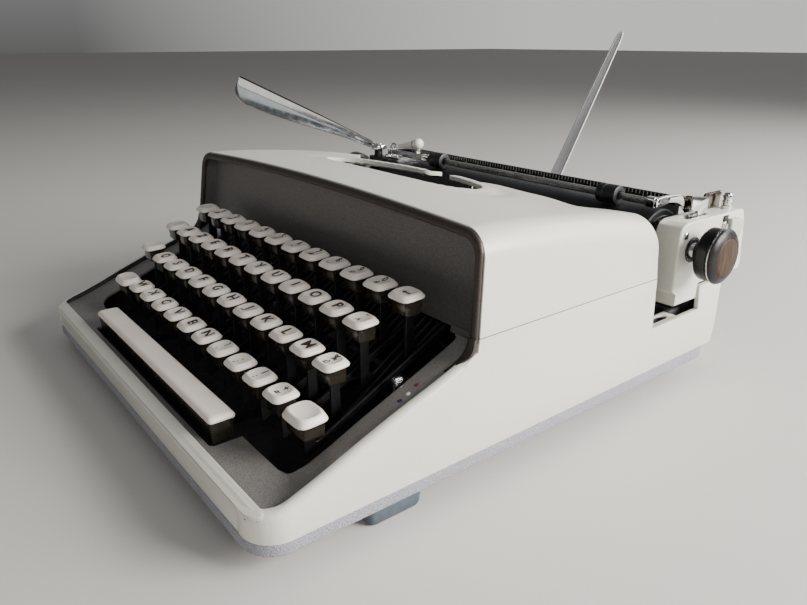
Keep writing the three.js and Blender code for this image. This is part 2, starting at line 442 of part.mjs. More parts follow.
for (const [name, s] of [['end_cap_right', 1], ['end_cap_left', -1]]) {
  const prof = [[252.4, 50.6], [274, 50.6], [274, 59.4], [316.8, 59.6], [318.8, 62.5], [315.4, 88.0], [312.6, 96.3], [255, 96.5], [250.4, 94.5], [249, 90], [249, 59.8], [252.4, 57.2]];
  const inn = [[254.3, 52.4], [272.2, 52.4], [272.2, 61.2], [316.4, 61.4], [313.4, 88.0], [311.4, 94.4], [256, 94.6], [251.6, 92.6], [250.9, 89], [250.9, 60.8], [254.3, 58.2]];
  const X = (a, b) => (s > 0 ? [a, b] : [-b, -a]);
  const outer = prism('x', prof, ...X(127.8, CARRIAGE_HALF));
  const hollow = prism('x', inn, ...X(120, CARRIAGE_HALF - 2.2));
  const bore = rod('x', 6.6, ...X(120, 150), PLATEN_Y, PLATEN_Z, 24);
  const slit = s > 0 ? box(138, 146, 289.9, 295.9, 84.4, 95.2) : box(-146, -138, 289.9, 295.9, 84.4, 95.2);
  const top = s > 0 ? box(131.2, 137.0, 263.0, 284.0, 92, 99) : box(-137, -131.2, 263.0, 284.0, 92, 99);
  const cap = cut(outer, hollow, bore, slit, top);
  // a low plate and a guide post stand on the right cap
  add(name, s > 0 ? join(cap, box(128.8, 130.2, 290, 307, 95.6, 105.6), rod('z', 2.8, 95.6, 105.3, 135.4, 304.8, 14)) : cap, 'cream');
}
add('platen_roller', cut(rod('x', PLATEN_R, -PLATEN_HALF, PLATEN_HALF + 2, PLATEN_Y, PLATEN_Z, 40), rod('x', 4.5, -130, 130, PLATEN_Y, PLATEN_Z, 16)), 'platen');
add('platen_shaft', rod('x', 4.1, -174, 156, PLATEN_Y, PLATEN_Z, 16), 'steel');
{
  const right = [[0, 162.5], [7.0, 162.3], [10.4, 161.8], [13.2, 160.6], [KNOB_R, 159.2], [KNOB_R, 157.7], [14.1, 157.3], [14.1, 151.5], [13.3, 150.4], [6.9, 150.4], [6.9, 146], [0, 146]];
  add('knob_right', cut(turned('x', right, PLATEN_Y, PLATEN_Z, 26), rod('x', 4.4, 140, 156.4, PLATEN_Y, PLATEN_Z, 16)), 'black');
  const left = [[0, -180.5], [7.0, -180.3], [10.4, -179.8], [13.2, -178.6], [KNOB_R, -177.2], [KNOB_R, -175.7], [14.1, -175.3], [14.1, -169.5], [13.3, -168.4], [6.9, -168.4], [6.9, -164], [0, -164]].reverse();
  add('knob_left', cut(turned('x', left, PLATEN_Y, PLATEN_Z, 26), rod('x', 4.4, -174.4, -160, PLATEN_Y, PLATEN_Z, 16)), 'black');
}
{
  const teeth = [];
  for (let i = 0; i < 48; i++) { const r = i % 2 ? 12.6 : 14.4, t = i * 7.5 * Math.PI / 180; teeth.push([PLATEN_Y + r * Math.cos(t), PLATEN_Z + r * Math.sin(t)]); }
  add('ratchet_wheel', cut(prism('x', teeth, -124.4, -120.6), rod('x', 4.5, -130, -110, PLATEN_Y, PLATEN_Z, 16)), 'steel');
}
add('feed_roller', join(rod('x', 4.4, -112, 112, 253.4, 60.2, 16), rod('x', 1.8, -124.9, 124.9, 253.4, 60.2, 10)), 'platen');
// paper table: curved sheet behind the platen, rising to the line scale
{
  const p = [], q = [];
  for (let i = 0; i <= 6; i++) {
    const t = (-62 + 62 * i / 6) * Math.PI / 180;
    p.push([PLATEN_Y + 19.4 * Math.cos(t), PLATEN_Z + 19.4 * Math.sin(t)]);
    q.push([PLATEN_Y + 20.6 * Math.cos(t), PLATEN_Z + 20.6 * Math.sin(t)]);
  }
  p.push([281.2, 94], [281.6, 103.6]); q.push([283.0, 94], [283.0, 103.6]);
  // boss behind the sheet, for the pivot of the paper support
  add('paper_table', join(prism('x', p.concat(q.reverse()), -111, 119.5), box(12.4, 24.4, 282.3, 285.1, 84, 93.5)), 'grey');
}
add('margin_rail', join(box(-124.6, 124.6, 297, 299.4, 79, 87), box(-124.6, 124.6, 297, 301, 79, 80.6)), 'steel');
for (const [name, x] of [['margin_stop_left', -98], ['margin_stop_right', 98]]) {
  add(name, cut(join(box(x - 5, x + 5, 293.6, 303, 80.9, 90.2), box(x - 3, x + 3, 299, 303, 88, 97)), box(x - 8, x + 8, 296.7, 299.7, 75, 87.3), box(x - 8, x + 8, 290, 301.6, 75, 80.9)), 'chrome');
}
// carriage release thumb plates and their levers
for (const [name, s] of [['carriage_release_right', 1], ['carriage_release_left', -1]]) {
  const X = (a, b) => (s > 0 ? [a, b] : [-b, -a]);
  const thumb = prism('x', [[293.6, 81.4], [299.5, 80.4], [304.4, 82.0], [307.4, 86.4], [306.8, 91.6], [303, 93.0], [293.6, 93.6]], ...X(142.6, 146.0));
  const shank = box(...X(139.2, 143.4), 290.6, 295.0, 85.2, 92);
  const tie = box(...X(142.6, 144.4), 290.6, 297, 85.6, 91);
  add(name, join(thumb, shank, tie), 'thumb');
}
// paper release lever with a square thumb tab standing above the right end cap
{
  const p = [[266.0, 108.4], [266.2, 101.6], [268.3, 100.1], [274.0, 99.2], [274.0, 95.4], [282.0, 95.4], [283.6, 97.6], [283.0, 105.6]];
  const lever = join(prism('x', p, 134.2, 136.0), box(131.6, 136.0, 266.0, 267.4, 101.2, 108.2), box(132.8, 135.4, 270, 282, 95.4, 97.8));
  add('paper_release_lever', lever, 'chrome');
}
// paper bail: flat bar on two arms, with two rollers on it
{
  const bar = box(-116.5, 116.5, BAIL_Y - 0.9, BAIL_Y + 0.9, BAIL_Z - 1.8, BAIL_Z + 1.8);
  const arm = (x0, x1) => {
    const p = [[BAIL_Y - 2.2, BAIL_Z - 2.4], [BAIL_Y + 4, BAIL_Z - 2.2], [274, 102.0], [BAIL_PIVOT_Y, BAIL_PIVOT_Z - 3], [BAIL_PIVOT_Y + 3.6, BAIL_PIVOT_Z - 1],
      [BAIL_PIVOT_Y + 3, BAIL_PIVOT_Z + 3.6], [277, 106.2], [BAIL_Y + 2, BAIL_Z + 2.8], [BAIL_Y - 2.2, BAIL_Z + 2.4]];
    return prism('x', p, x0, x1);
  };
  // both arms stand outside the paper table, where the sheet cannot reach them
  const ends = join(box(115.5, 123.8, BAIL_Y - 1.2, BAIL_Y + 1.2, BAIL_Z - 2, BAIL_Z + 2), box(-116.5, -112.6, BAIL_Y - 1.2, BAIL_Y + 1.2, BAIL_Z - 2, BAIL_Z + 2));
  const pin = rod('x', 1.6, 121, 124.9, BAIL_PIVOT_Y, BAIL_PIVOT_Z, 12);
  const pin2 = rod('x', 1.6, -124.9, -114, BAIL_PIVOT_Y, BAIL_PIVOT_Z, 12);
  add('paper_bail', join(bar, arm(121.4, 123.8), arm(-116, -113.6), ends, pin, pin2), 'chrome');
}
// tapering handle with a round end, fixed to the left arm of the bail
{
  const a = new THREE.Vector3(-113.2, 256.8, 107.4), b = new THREE.Vector3(-79.4, 256.8, 113.4);
  const L = a.distanceTo(b), ang = Math.atan2(b.z - a.z, b.x - a.x) * 180 / Math.PI;
  const prof = [[0, 0], [1.0, 0], [3.0, L - 8.4], [3.7, L - 7.6], [4.0, L - 5.4], [4.0, L - 3.2], [3.2, L - 1.0], [1.6, L], [0, L]];
  const g = turned('x', prof, 0, 0, 18).rotate([0, -ang, 0]).translate([a.x, a.y, a.z]);
  add('bail_handle', g, 'cream');
}
for (const [name, x] of [['bail_roller_left', -57], ['bail_roller_right', 92]]) {
  const p = [[2.5, x - 6.5], [4.6, x - 6.5], [5.5, x - 5.6], [5.5, x + 5.6], [4.6, x + 6.5], [2.5, x + 6.5], [2.5, x - 6.5]];
  add(name, turned('x', p, BAIL_Y, BAIL_Z, 20), 'platen');
}
// return lever: tapering paddle that rises forward and outward from its post
const LEVER_PIVOT = [-120, 247, 107.5];
{
  const tip = [-178, 160, 158.5], piv = LEVER_PIVOT;
  const dir = new THREE.Vector3(tip[0] - piv[0], tip[1] - piv[1], tip[2] - piv[2]);
  const L = dir.length(); dir.normalize();
  const side = new THREE.Vector3(0.52, -0.33, -0.79); side.addScaledVector(dir, -side.dot(dir)).normalize();
  const nor = new THREE.Vector3().crossVectors(dir, side).normalize();
  const at = (s, w0, w1, t) => [[w0, -t], [w1, -t], [w1, t], [w0, t]].map(([w, n]) => {
    const v = new THREE.Vector3(...piv).addScaledVector(dir, s).addScaledVector(side, w).addScaledVector(nor, n); return [v.x, v.y, v.z];
  });
  const blade = loft([at(6, -2.6, 3.2, 1.0), at(22, -3.0, 4.4, 1.1), at(50, -3.6, 9.0, 1.2), at(84, -3.6, 15.0, 1.2), at(L - 9, -3.6, 16.6, 1.2), at(L - 3, -3.6, 12.0, 1.1), at(L, -3.4, 5.0, 1.0)]);
  const hub = cut(rod('z', 6.2, 105.9, 109.4, piv[0], piv[1], 18), rod('z', 0.6, 100, 105.8, piv[0], piv[1], 8));
  const neck = loft([[[piv[0] - 4, piv[1] - 2, 106.4], [piv[0] + 4, piv[1] - 2, 106.4], [piv[0] + 4, piv[1] - 2, 109.2], [piv[0] - 4, piv[1] - 2, 109.2]],
    at(12, -2.4, 3.4, 1.2).map((p) => p)]);
  add('return_lever', join(blade, hub, neck), 'chrome');
}
// line spacing selector at the left end
{
  const lv = join(rod('z', 2.8, 100.4, 103, -110, 249.6, 14), box(-109, -98, 248.5, 250.7, 100.4, 101.8), box(-100, -98, 248.2, 251, 100.4, 104));
  add('line_space_selector', lv, 'chrome');
}
// paper support: tapering strip that stands behind the paper table
{
  const piv = new THREE.Vector3(18.4, 288, 88), d = new THREE.Vector3(13.2, 38, 89.3).normalize();
  const n = new THREE.Vector3(0, -89.3, 38).normalize(), w = new THREE.Vector3().crossVectors(n, d).normalize();
  const at = (s, h) => [[-h, -0.6], [h, -0.6], [h, 0.6], [-h, 0.6]].map(([a, b]) => {
    const v = piv.clone().addScaledVector(d, s).addScaledVector(w, a).addScaledVector(n, b); return [v.x, v.y, v.z];
  });
  add('paper_support', loft([at(-6, 4.5), at(4, 4.8), at(20, 4.6), at(109, 2.7), at(113, 1.4)]), 'chrome');
}

group.updateMatrixWorld(true);
export default group;
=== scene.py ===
"""Looks of the portable typewriter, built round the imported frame."""
import bpy, bmesh, json, math, random
import numpy as np
from mathutils import Vector, Matrix

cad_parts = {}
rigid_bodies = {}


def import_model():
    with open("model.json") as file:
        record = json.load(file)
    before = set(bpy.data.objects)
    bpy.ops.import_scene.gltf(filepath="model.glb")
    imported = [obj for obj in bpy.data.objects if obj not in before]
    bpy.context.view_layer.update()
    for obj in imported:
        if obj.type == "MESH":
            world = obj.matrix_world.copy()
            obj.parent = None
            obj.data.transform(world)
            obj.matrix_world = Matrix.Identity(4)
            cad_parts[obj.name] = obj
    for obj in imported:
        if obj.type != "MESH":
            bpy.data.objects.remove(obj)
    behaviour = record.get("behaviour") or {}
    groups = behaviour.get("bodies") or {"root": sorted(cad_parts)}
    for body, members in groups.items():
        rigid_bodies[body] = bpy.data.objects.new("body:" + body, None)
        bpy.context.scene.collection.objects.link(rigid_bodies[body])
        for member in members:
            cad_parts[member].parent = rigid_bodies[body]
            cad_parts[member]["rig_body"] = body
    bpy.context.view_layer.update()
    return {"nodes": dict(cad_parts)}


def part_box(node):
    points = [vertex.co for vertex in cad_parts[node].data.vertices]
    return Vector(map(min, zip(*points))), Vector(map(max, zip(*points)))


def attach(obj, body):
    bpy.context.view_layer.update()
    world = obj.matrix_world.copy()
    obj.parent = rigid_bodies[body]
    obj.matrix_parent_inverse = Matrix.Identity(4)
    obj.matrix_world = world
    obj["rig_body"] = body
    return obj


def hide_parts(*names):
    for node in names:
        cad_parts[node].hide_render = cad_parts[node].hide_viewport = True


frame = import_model()
nodes = frame["nodes"]

# The design frame has x = 0 on the casing's centre line, y = 0 at its front edge and z = 0 on the table, in millimetres.
_lo, _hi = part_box("lower_case")
DX, DY = (_lo.x + _hi.x) / 2, _lo.y - 0.0016


def T(p):
    return (p[0] / 1000 + DX, p[1] / 1000 + DY, p[2] / 1000)


# ------------------------------------------------------------------ camera
def make_camera():
    yaw, pitch = math.radians(51.953), math.radians(20.625)
    fwd = Vector((-math.sin(yaw) * math.cos(pitch), math.cos(yaw) * math.cos(pitch), -math.sin(pitch)))
    right = Vector((math.cos(yaw), math.sin(yaw), 0))
    up = right.cross(fwd)
    data = bpy.data.cameras.new("camera")
    data.sensor_fit = "HORIZONTAL"
    data.sensor_width = 36.0
    data.lens = 36.0 * 696.896 / 807.0
    data.clip_start, data.clip_end = 0.01, 50
    cam = bpy.data.objects.new("camera", data)
    bpy.context.scene.collection.objects.link(cam)
    m = Matrix((right, up, -fwd)).transposed().to_4x4()
    m.translation = Vector(T((329.314, -79.897, 185.721)))
    cam.matrix_world = m
    bpy.context.scene.camera = cam


make_camera()


# ------------------------------------------------------------------ materials
class Nodes:
    """Small helper round one node material."""

    def __init__(self, name):
        self.m = bpy.data.materials.new(name)
        self.m.use_nodes = True
        self.t = self.m.node_tree
        self.b = self.t.nodes["Principled BSDF"]
        self.tc = self.t.nodes.new("ShaderNodeTexCoord")
        self.p = self.tc.outputs["Object"]

    def n(self, kind, **kw):
        node = self.t.nodes.new(kind)
        for k, v in kw.items():
            setattr(node, k, v)
        return node

    def link(self, a, b):
        self.t.links.new(a, b)

    def noise(self, scale, detail=3.0, rough=0.5, stretch=None, coords=None):
        n = self.n("ShaderNodeTexNoise")
        n.inputs["Scale"].default_value = scale
        n.inputs["Detail"].default_value = detail
        n.inputs["Roughness"].default_value = rough
        src = coords or self.p
        if stretch:
            mp = self.n("ShaderNodeMapping")
            mp.inputs["Scale"].default_value = stretch
            self.link(src, mp.inputs["Vector"])
            src = mp.outputs["Vector"]
        self.link(src, n.inputs["Vector"])
        return n.outputs["Fac"]

    def voronoi(self, scale, feature="F1"):
        n = self.n("ShaderNodeTexVoronoi")
        n.feature = feature
        n.inputs["Scale"].default_value = scale
        self.link(self.p, n.inputs["Vector"])
        return n.outputs["Distance"]

    def ramp(self, fac, stops):
        n = self.n("ShaderNodeValToRGB")
        el = n.color_ramp.elements
        while len(el) < len(stops):
            el.new(0.5)
        for e, (pos, col) in zip(el, stops):
            e.position = pos
            e.color = (*col, 1) if len(col) == 3 else col
        self.link(fac, n.inputs["Fac"])
        return n.outputs["Color"]

    def rng(self, fac, lo, hi, a=0.0, b=1.0):
        n = self.n("ShaderNodeMapRange")
        n.inputs["From Min"].default_value = a
        n.inputs["From Max"].default_value = b
        n.inputs["To Min"].default_value = lo
        n.inputs["To Max"].default_value = hi
        self.link(fac, n.inputs["Value"])
        return n.outputs["Result"]

    def mix(self, fac, a, b, blend="MIX"):
        n = self.n("ShaderNodeMix", data_type="RGBA", blend_type=blend)
        for sock, v in ((n.inputs[0], fac), (n.inputs[6], a), (n.inputs[7], b)):
            if isinstance(v, (int, float)):
                sock.default_value = v
            elif isinstance(v, tuple):
                sock.default_value = (*v, 1)
            else:
                self.link(v, sock)
        return n.outputs[2]

    def math(self, op, a, b=0.0):
        n = self.n("ShaderNodeMath", operation=op)
        for sock, v in ((n.inputs[0], a), (n.inputs[1], b)):
            if isinstance(v, (int, float)):
                sock.default_value = v
            else:
                self.link(v, sock)
        return n.outputs[0]

    def axis(self, which):
        n = self.n("ShaderNodeSeparateXYZ")
        self.link(self.p, n.inputs[0])
        return n.outputs["XYZ".index(which)]

    def bump(self, height, dist, strength=1.0, normal=None):
        n = self.n("ShaderNodeBump")
        n.inputs["Distance"].default_value = dist
        n.inputs["Strength"].default_value = strength
        self.link(height, n.inputs["Height"])
        if normal:
            self.link(normal, n.inputs["Normal"])
        self.link(n.outputs["Normal"], self.b.inputs["Normal"])
        return n.outputs["Normal"]

    def color(self, sock):
        self.link(sock, self.b.inputs["Base Color"])

    def rough(self, sock):
        if isinstance(sock, (int, float)):
            self.b.inputs["Roughness"].default_value = sock
        else:
            self.link(sock, self.b.inputs["Roughness"])

    def set(self, **kw):
        for k, v in kw.items():
            self.b.inputs[k.replace("_", " ")].default_value = v


def lin(r, g, b):
    f = lambda c: (c / 255 / 12.92) if c / 255 <= 0.04045 else ((c / 255 + 0.055) / 1.055) ** 2.4
    return (f(r), f(g), f(b))


def shade(c, k):
    return tuple(min(1.0, v * k) for v in c)


MATS = {}


def material(name):
    def deco(fn):
        n = Nodes(name)
        fn(n)
        MATS[name] = n.m
        return fn
    return deco


CREAM = lin(226, 224, 212)


@material("shell_cream")
def _(n):
    big = n.noise(9.0, 3.0)
    fine = n.noise(900.0, 2.0)
    c = n.mix(n.rng(big, 0.0, 1.0, 0.35, 0.65), shade(CREAM, 0.965), shade(CREAM, 1.02))
    c = n.mix(n.rng(fine, 0.0, 0.10, 0.45, 0.75), c, shade(CREAM, 0.86))
    n.color(c)
    n.rough(n.rng(n.noise(60.0, 4.0), 0.30, 0.40, 0.3, 0.7))
    n.set(Coat_Weight=0.25, Coat_Roughness=0.18)
    n.bump(n.math("ADD", n.noise(420.0, 2.0), n.math("MULTIPLY", fine, 0.4)), 0.00006)


@material("base_strip")
def _(n):
    base = lin(160, 160, 168)
    v = n.voronoi(1300.0)
    c = n.mix(n.rng(v, 0.0, 1.0, 0.0, 0.7), shade(base, 0.62), shade(base, 1.12))
    n.color(n.mix(n.rng(n.noise(40.0), 0.0, 0.35, 0.4, 0.7), c, shade(base, 0.8)))
    n.rough(0.72)
    n.set(Metallic=0.15)
    n.bump(n.math("ADD", v, n.noise(1700.0, 2.0)), 0.00028)


@material("rubber_feet")
def _(n):
    base = lin(78, 88, 98)
    n.color(n.mix(n.rng(n.noise(250.0, 4.0), 0.0, 1.0, 0.3, 0.7), shade(base, 0.75), shade(base, 1.1)))
    n.rough(n.rng(n.noise(500.0), 0.62, 0.85, 0.3, 0.7))
    n.bump(n.noise(1400.0, 2.0), 0.00008)


@material("panel_dark")
def _(n):
    base = lin(116, 113, 111)
    flake = n.noise(2600.0, 1.0)
    c = n.mix(n.rng(flake, 0.0, 1.0, 0.35, 0.68), shade(base, 0.72), shade(base, 1.45))
    c = n.mix(n.rng(n.noise(14.0, 3.0), 0.0, 0.30, 0.35, 0.7), c, shade(base, 0.75))
    n.color(c)
    n.rough(n.rng(n.noise(700.0, 3.0), 0.38, 0.50, 0.3, 0.7))
    n.set(Metallic=0.45)
    n.bump(flake, 0.00005)


@material("panel_rim")
def _(n):
    base = lin(72, 65, 60)
    flake = n.noise(2200.0, 1.0)
    n.color(n.mix(n.rng(flake, 0.0, 1.0, 0.35, 0.68), shade(base, 0.8), shade(base, 1.3)))
    n.rough(n.rng(n.noise(300.0, 3.0), 0.36, 0.48, 0.3, 0.7))
    n.set(Metallic=0.45)
    n.bump(flake, 0.00004)


# the band's grey is painted lighter than the front panel's, as painted light for the sheen its upturned faces catch
@material("apron_grey")
def _(n):
    base = lin(158, 154, 150)
    flake = n.noise(2400.0, 1.0)
    c = n.mix(n.rng(flake, 0.0, 1.0, 0.35, 0.68), shade(base, 0.74), shade(base, 1.3))
    c = n.mix(n.rng(n.noise(18.0, 4.0), 0.0, 0.28, 0.35, 0.7), c, shade(base, 0.75))
    n.color(c)
    n.rough(n.rng(n.noise(500.0, 3.0), 0.34, 0.46, 0.3, 0.7))
    n.set(Metallic=0.5)
    n.bump(flake, 0.00005)


# near-black painted shade for the insides of the base pan, the casing and the end caps; also the dark joint line
# between the casing halves
@material("inner_dark")
def _(n):
    base = lin(20, 20, 22)
    n.color(n.mix(n.rng(n.noise(120.0, 4.0), 0.0, 1.0, 0.3, 0.7), shade(base, 0.6), shade(base, 1.4)))
    n.rough(n.rng(n.noise(300.0, 3.0), 0.6, 0.85, 0.3, 0.7))
    n.bump(n.noise(900.0, 2.0), 0.00005)


@material("key_cap")
def _(n):
    base = lin(250, 241, 230)
    c = n.mix(n.rng(n.noise(70.0, 4.0), 0.0, 1.0, 0.3, 0.7), shade(base, 0.93), shade(base, 1.03))
    c = n.mix(n.rng(n.noise(1500.0, 2.0), 0.0, 0.16, 0.5, 0.8), c, shade(base, 0.72))
    n.color(c)
    n.rough(n.rng(n.noise(120.0, 4.0), 0.24, 0.36, 0.3, 0.7))
    n.set(Subsurface_Weight=0.08, Subsurface_Scale=0.001)
    n.bump(n.noise(600.0, 2.0), 0.00004)


@material("space_cap")
def _(n):
    base = lin(252, 242, 230)
    c = n.mix(n.rng(n.noise(45.0, 4.0), 0.0, 1.0, 0.3, 0.7), shade(base, 0.93), shade(base, 1.02))
    n.color(n.mix(n.rng(n.noise(1200.0, 2.0), 0.0, 0.15, 0.5, 0.8), c, shade(base, 0.75)))
    n.rough(n.rng(n.noise(200.0, 4.0), 0.34, 0.46, 0.3, 0.7))
    n.bump(n.noise(700.0, 3.0), 0.00006)


@material("key_skirt")
def _(n):
    base = lin(42, 38, 32)
    c = n.mix(n.rng(n.noise(160.0, 3.0), 0.0, 1.0, 0.3, 0.7), shade(base, 0.85), shade(base, 1.12))
    n.color(c)
    n.rough(n.rng(n.noise(240.0, 3.0), 0.16, 0.30, 0.3, 0.7))
    n.set(Subsurface_Weight=0.06, Subsurface_Scale=0.002, Coat_Weight=0.3, Coat_Roughness=0.12)
    n.bump(n.noise(500.0, 2.0), 0.00004)


@material("legend")
def _(n):
    base = lin(52, 42, 36)
    n.color(n.mix(n.rng(n.noise(900.0, 2.0), 0.0, 1.0, 0.3, 0.7), shade(base, 0.8), shade(base, 1.3)))
    n.rough(0.5)


@material("lever_black")
def _(n):
    base = lin(24, 24, 25)
    n.color(n.mix(n.rng(n.noise(220.0, 4.0), 0.0, 1.0, 0.3, 0.7), shade(base, 0.6), shade(base, 1.5)))
    n.rough(n.rng(n.noise(400.0, 3.0), 0.28, 0.5, 0.3, 0.7))
    n.set(Metallic=0.4)
    n.bump(n.noise(900.0, 2.0), 0.00005)


@material("stem_grey")
def _(n):
    base = lin(38, 38, 39)
    n.color(n.mix(n.rng(n.noise(200.0, 4.0), 0.0, 1.0, 0.3, 0.7), shade(base, 0.75), shade(base, 1.3)))
    n.rough(n.rng(n.noise(300.0, 3.0), 0.3, 0.5, 0.3, 0.7))
    n.set(Metallic=0.5)
    n.bump(n.noise(900.0, 2.0), 0.00004)


@material("chrome")
def _(n):
    base = (0.80, 0.80, 0.81)
    n.color(n.mix(n.rng(n.noise(120.0, 4.0), 0.0, 1.0, 0.35, 0.7), shade(base, 0.9), base))
    n.rough(n.rng(n.noise(260.0, 5.0), 0.05, 0.13, 0.35, 0.7))
    n.set(Metallic=1.0)
    n.bump(n.noise(350.0, 2.0), 0.00001)


@material("bright_steel")
def _(n):
    base = (0.52, 0.52, 0.53)
    n.color(n.mix(n.rng(n.noise(300.0, 4.0), 0.0, 1.0, 0.3, 0.7), shade(base, 0.75), shade(base, 1.15)))
    n.rough(n.rng(n.noise(700.0, 3.0), 0.22, 0.38, 0.3, 0.7))
    n.set(Metallic=1.0)
    n.bump(n.noise(1200.0, 2.0, stretch=(0.1, 1, 1)), 0.00003)


@material("chassis_steel")
def _(n):
    base = (0.26, 0.26, 0.27)
    n.color(n.mix(n.rng(n.noise(180.0, 4.0), 0.0, 1.0, 0.3, 0.7), shade(base, 0.6), shade(base, 1.2)))
    n.rough(n.rng(n.noise(500.0, 3.0), 0.30, 0.5, 0.3, 0.7))
    n.set(Metallic=0.9)
    n.bump(n.noise(900.0, 2.0), 0.00004)


@material("black_plastic")
def _(n):
    base = lin(20, 20, 21)
    n.color(n.mix(n.rng(n.noise(150.0, 3.0), 0.0, 1.0, 0.3, 0.7), shade(base, 0.7), shade(base, 1.35)))
    n.rough(n.rng(n.noise(350.0, 4.0), 0.26, 0.42, 0.3, 0.7))
    n.set(Specular_IOR_Level=0.3)
    n.bump(n.noise(1100.0, 2.0), 0.00003)


@material("platen_rubber")
def _(n):
    base = lin(27, 28, 31)
    n.color(n.mix(n.rng(n.noise(130.0, 5.0, stretch=(0.3, 1, 1)), 0.0, 1.0, 0.3, 0.7), shade(base, 0.7), shade(base, 1.6)))
    n.rough(n.rng(n.noise(420.0, 3.0), 0.36, 0.55, 0.3, 0.7))
    n.bump(n.noise(1500.0, 2.0, stretch=(4, 1, 1)), 0.00004)


@material("brass")
def _(n):
    base = (0.62, 0.44, 0.17)
    n.color(n.mix(n.rng(n.noise(200.0, 4.0), 0.0, 1.0, 0.3, 0.7), shade(base, 0.7), base))
    n.rough(n.rng(n.noise(500.0, 3.0), 0.2, 0.36, 0.3, 0.7))
    n.set(Metallic=1.0)
    n.bump(n.noise(900.0, 2.0), 0.00003)


@material("table_grey")
def _(n):
    base = lin(112, 112, 110)
    flake = n.noise(1800.0, 1.0)
    n.color(n.mix(n.rng(flake, 0.0, 1.0, 0.35, 0.68), shade(base, 0.7), shade(base, 1.25)))
    n.rough(n.rng(n.noise(350.0, 3.0), 0.36, 0.5, 0.3, 0.7))
    n.set(Metallic=0.4)
    n.bump(flake, 0.00005)


@material("thumb_plate")
def _(n):
    base = lin(190, 198, 184)
    n.color(n.mix(n.rng(n.noise(90.0, 3.0), 0.0, 1.0, 0.3, 0.7), shade(base, 0.9), shade(base, 1.04)))
    n.rough(n.rng(n.noise(200.0, 3.0), 0.16, 0.28, 0.3, 0.7))
    n.set(Subsurface_Weight=0.15, Subsurface_Scale=0.002)
    n.bump(n.noise(500.0, 2.0), 0.00003)


# brown streaked colour on the knob insert: a painted reflection of a wooden table
@material("wood_insert")
def _(n):
    reflected_streaks = n.noise(70.0, 5.0, 0.6, stretch=(1.0, 9.0, 0.8))
    fine = n.noise(260.0, 4.0, 0.6, stretch=(1.0, 10.0, 0.6))
    c = n.ramp(reflected_streaks, [(0.30, lin(26, 17, 12)), (0.48, lin(54, 36, 24)), (0.62, lin(84, 58, 38)), (0.75, lin(38, 26, 17))])
    n.color(n.mix(n.rng(fine, 0.0, 0.6, 0.5, 0.72), c, lin(22, 15, 11)))
    n.rough(n.rng(fine, 0.42, 0.55, 0.3, 0.7))
    n.set(Specular_IOR_Level=0.25)
    n.bump(fine, 0.00005)


@material("bail_grey")
def _(n):
    base = (0.36, 0.36, 0.37)
    n.color(n.mix(n.rng(n.noise(300.0, 4.0, stretch=(0.2, 1, 1)), 0.0, 1.0, 0.3, 0.7), shade(base, 0.8), shade(base, 1.15)))
    n.rough(n.rng(n.noise(700.0, 3.0), 0.24, 0.38, 0.3, 0.7))
    n.set(Metallic=0.9)
    n.bump(n.noise(1200.0, 2.0, stretch=(0.1, 1, 1)), 0.00002)


@material("support_grey")
def _(n):
    base = (0.82, 0.82, 0.83)
    n.color(n.mix(n.rng(n.noise(260.0, 4.0, stretch=(1, 0.3, 0.3)), 0.0, 1.0, 0.3, 0.7), shade(base, 0.9), shade(base, 1.06)))
    n.rough(n.rng(n.noise(700.0, 3.0), 0.30, 0.42, 0.3, 0.7))
    n.set(Metallic=0.1)
    n.bump(n.noise(1100.0, 2.0), 0.00002)


@material("type_steel")
def _(n):
    base = (0.20, 0.20, 0.21)
    n.color(n.mix(n.rng(n.noise(400.0, 4.0), 0.0, 1.0, 0.3, 0.7), shade(base, 0.6), shade(base, 1.3)))
    n.rough(n.rng(n.noise(800.0, 3.0), 0.22, 0.4, 0.3, 0.7))
    n.set(Metallic=1.0)
    n.bump(n.noise(900.0, 2.0), 0.00002)


# copies of one chrome with painted reflections in their colour: a warm highlight, a dark reflection and a cool grey
# reflection
def chrome_painted_reflection(name, base, r0, r1):
    n = Nodes(name)
    n.color(n.mix(n.rng(n.noise(120.0, 4.0), 0.0, 1.0, 0.35, 0.7), shade(base, 0.88), base))
    n.rough(n.rng(n.noise(260.0, 5.0), r0, r1, 0.35, 0.7))
    n.set(Metallic=1.0)
    n.bump(n.noise(300.0, 2.0), 0.00001)
    MATS[name] = n.m


chrome_painted_reflection("chrome_painted_warm_highlight", (0.88, 0.86, 0.79), 0.10, 0.18)
chrome_painted_reflection("chrome_dark", (0.17, 0.145, 0.125), 0.16, 0.26)
chrome_painted_reflection("chrome_painted_cool_reflection", (0.50, 0.53, 0.54), 0.12, 0.22)


def dot_material(name, col):
    n = Nodes(name)
    n.color(n.mix(n.rng(n.noise(1500.0, 2.0), 0.0, 1.0, 0.3, 0.7), shade(col, 0.7), shade(col, 1.15)))
    n.rough(0.35)
    n.bump(n.noise(1500.0, 2.0), 0.00002)
    MATS[name] = n.m


dot_material("dot_white", lin(232, 230, 220))
dot_material("dot_red", lin(140, 52, 62))
dot_material("dot_blue", lin(52, 54, 92))
dot_material("tick_white", lin(214, 214, 208))


# ------------------------------------------------------------------ geometry helpers (all in design millimetres)
def box(x0, x1, y0, y1, z0, z1):
    v = [(x, y, z) for z in (z0, z1) for y in (y0, y1) for x in (x0, x1)]
    return v, [(0, 2, 3, 1), (4, 5, 7, 6), (0, 1, 5, 4), (2, 6, 7, 3), (0, 4, 6, 2), (1, 3, 7, 5)]


